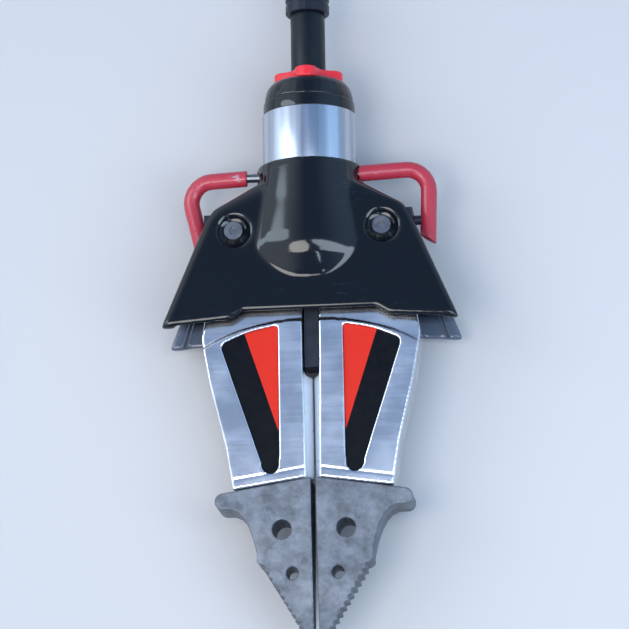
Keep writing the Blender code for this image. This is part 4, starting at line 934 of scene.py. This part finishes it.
class SPREADER_OT_studio(bpy.types.Operator):
    """Set up the floor, the lamps, the world and the camera"""

    bl_idname = "spreader.studio"
    bl_label = "Make studio"

    def execute(self, context):
        studio = context.scene.spreader_studio
        self.make_floor()
        self.make_lamps(studio)
        self.make_world(studio)
        self.make_camera(studio)
        context.scene.view_settings.view_transform = "Standard"
        return {"FINISHED"}

    def make_floor(self):
        bpy.ops.mesh.primitive_plane_add(size=FLOOR_WIDTH, location=(0, 0, 0))
        floor = bpy.context.object
        floor.name = "floor"
        floor.data.materials.append(Finish("floor", colours().floor, roughness=0.9).material)

    def make_lamps(self, studio):
        """Soft lamps, each turned to the tool's middle on the floor."""
        light = colours()
        key_size = (studio.key_size, studio.key_size)
        for name, place, power, tint, size in (
                ("key", studio.key_place, studio.key_power, light.key_light, key_size),
                ("left", studio.left_place, studio.left_power, light.left_light, studio.left_size),
                ("right", studio.right_place, studio.right_power, light.right_light, studio.right_size),
                ("front", studio.front_place, studio.front_power, light.right_light, studio.front_size)):
            bpy.ops.object.light_add(type="AREA", location=place)
            lamp = bpy.context.object
            lamp.name = f"{name}_lamp"
            lamp.data.energy = power
            lamp.data.color = tint
            lamp.data.shape = "ELLIPSE"
            lamp.data.size, lamp.data.size_y = size
            lamp.rotation_mode = "QUATERNION"
            lamp.rotation_quaternion = (-Vector(place)).to_track_quat("-Z", "Y")

    def make_world(self, studio):
        """Even light that is paler towards the left and bluer towards the right."""
        world = bpy.data.worlds.new("studio")
        bpy.context.scene.world = world
        world.use_nodes = True
        nodes, links = world.node_tree.nodes, world.node_tree.links
        direction = nodes.new("ShaderNodeSeparateXYZ")
        links.new(nodes.new("ShaderNodeTexCoord").outputs["Generated"], direction.inputs["Vector"])
        background = nodes["Background"]
        background.inputs["Strength"].default_value = studio.sky_strength
        under = None
        for light, fade in ((colours().sky_left, SKY_LEFT_FADE), (colours().sky_right, SKY_RIGHT_FADE)):
            share = nodes.new("ShaderNodeMapRange")
            share.interpolation_type = "SMOOTHSTEP"
            share.inputs["From Min"].default_value, share.inputs["From Max"].default_value = fade
            links.new(direction.outputs["X"], share.inputs["Value"])
            mix = nodes.new("ShaderNodeMix")
            mix.data_type = "RGBA"
            mix.inputs[MIX_FIRST].default_value = (*colours().sky, 1)
            mix.inputs[MIX_SECOND].default_value = (*light, 1)
            links.new(share.outputs["Result"], mix.inputs["Factor"])
            if under:
                links.new(under, mix.inputs[MIX_FIRST])
            under = mix.outputs[MIX_RESULT]
        links.new(under, background.inputs["Color"])

    def make_camera(self, studio):
        azimuth, elevation, roll = studio.azimuth, studio.elevation, studio.roll
        back = Vector((math.sin(azimuth) * math.cos(elevation), -math.cos(azimuth) * math.cos(elevation),
                       math.sin(elevation)))
        level_right = Vector((math.cos(azimuth), math.sin(azimuth), 0))
        level_up = back.cross(level_right)
        right = level_right * math.cos(roll) + level_up * math.sin(roll)
        up = level_up * math.cos(roll) - level_right * math.sin(roll)
        aim = Vector((0, 0, AXIS_Z)) + right * studio.aim_right + up * studio.aim_up
        bpy.ops.object.camera_add()
        camera = bpy.context.object
        turn = Matrix((right, up, back)).transposed()
        camera.matrix_world = Matrix.Translation(aim + back * studio.distance) @ turn.to_4x4()
        camera.data.lens = studio.lens
        camera.data.sensor_width = SENSOR_WIDTH
        bpy.context.scene.camera = camera


class SPREADER_PT_panel(bpy.types.Panel):
    """Lists the steps in order, and the settings"""

    bl_label = "Rescue spreader"
    bl_idname = "SPREADER_PT_panel"
    bl_space_type = "VIEW_3D"
    bl_region_type = "UI"
    bl_category = "Spreader"

    def draw(self, context):
        for operator in OPERATORS:
            self.layout.operator(operator.bl_idname)
        for group_name in GROUPS:
            group = getattr(context.scene, group_name)
            box = self.layout.box()
            for name in group.__annotations__:
                box.prop(group, name)


OPERATORS = (
    SPREADER_OT_finishes,
    SPREADER_OT_covers,
    SPREADER_OT_arms,
    SPREADER_OT_links,
    SPREADER_OT_tips,
    SPREADER_OT_panels,
    SPREADER_OT_cylinder,
    SPREADER_OT_star_grip,
    SPREADER_OT_tail,
    SPREADER_OT_side_grips,
    SPREADER_OT_studio,
)
GROUPS = {
    "spreader_sizes": SpreaderSizes,
    "spreader_colours": SpreaderColours,
    "spreader_studio": StudioSettings,
}


def register():
    for name, group in GROUPS.items():
        bpy.utils.register_class(group)
        setattr(bpy.types.Scene, name, PointerProperty(type=group))
    for cls in (*OPERATORS, SPREADER_PT_panel):
        bpy.utils.register_class(cls)


def unregister():
    for cls in (SPREADER_PT_panel, *reversed(OPERATORS)):
        bpy.utils.unregister_class(cls)
    for name, group in GROUPS.items():
        delattr(bpy.types.Scene, name)
        bpy.utils.unregister_class(group)


def main():
    register()
    bpy.ops.spreader.finishes()
    bpy.ops.spreader.covers()
    bpy.ops.spreader.arms()
    bpy.ops.spreader.links()
    bpy.ops.spreader.tips()
    bpy.ops.spreader.panels()
    bpy.ops.spreader.cylinder()
    bpy.ops.spreader.star_grip()
    bpy.ops.spreader.tail()
    bpy.ops.spreader.side_grips()
    bpy.ops.spreader.studio()


if __name__ == "__main__":
    main()
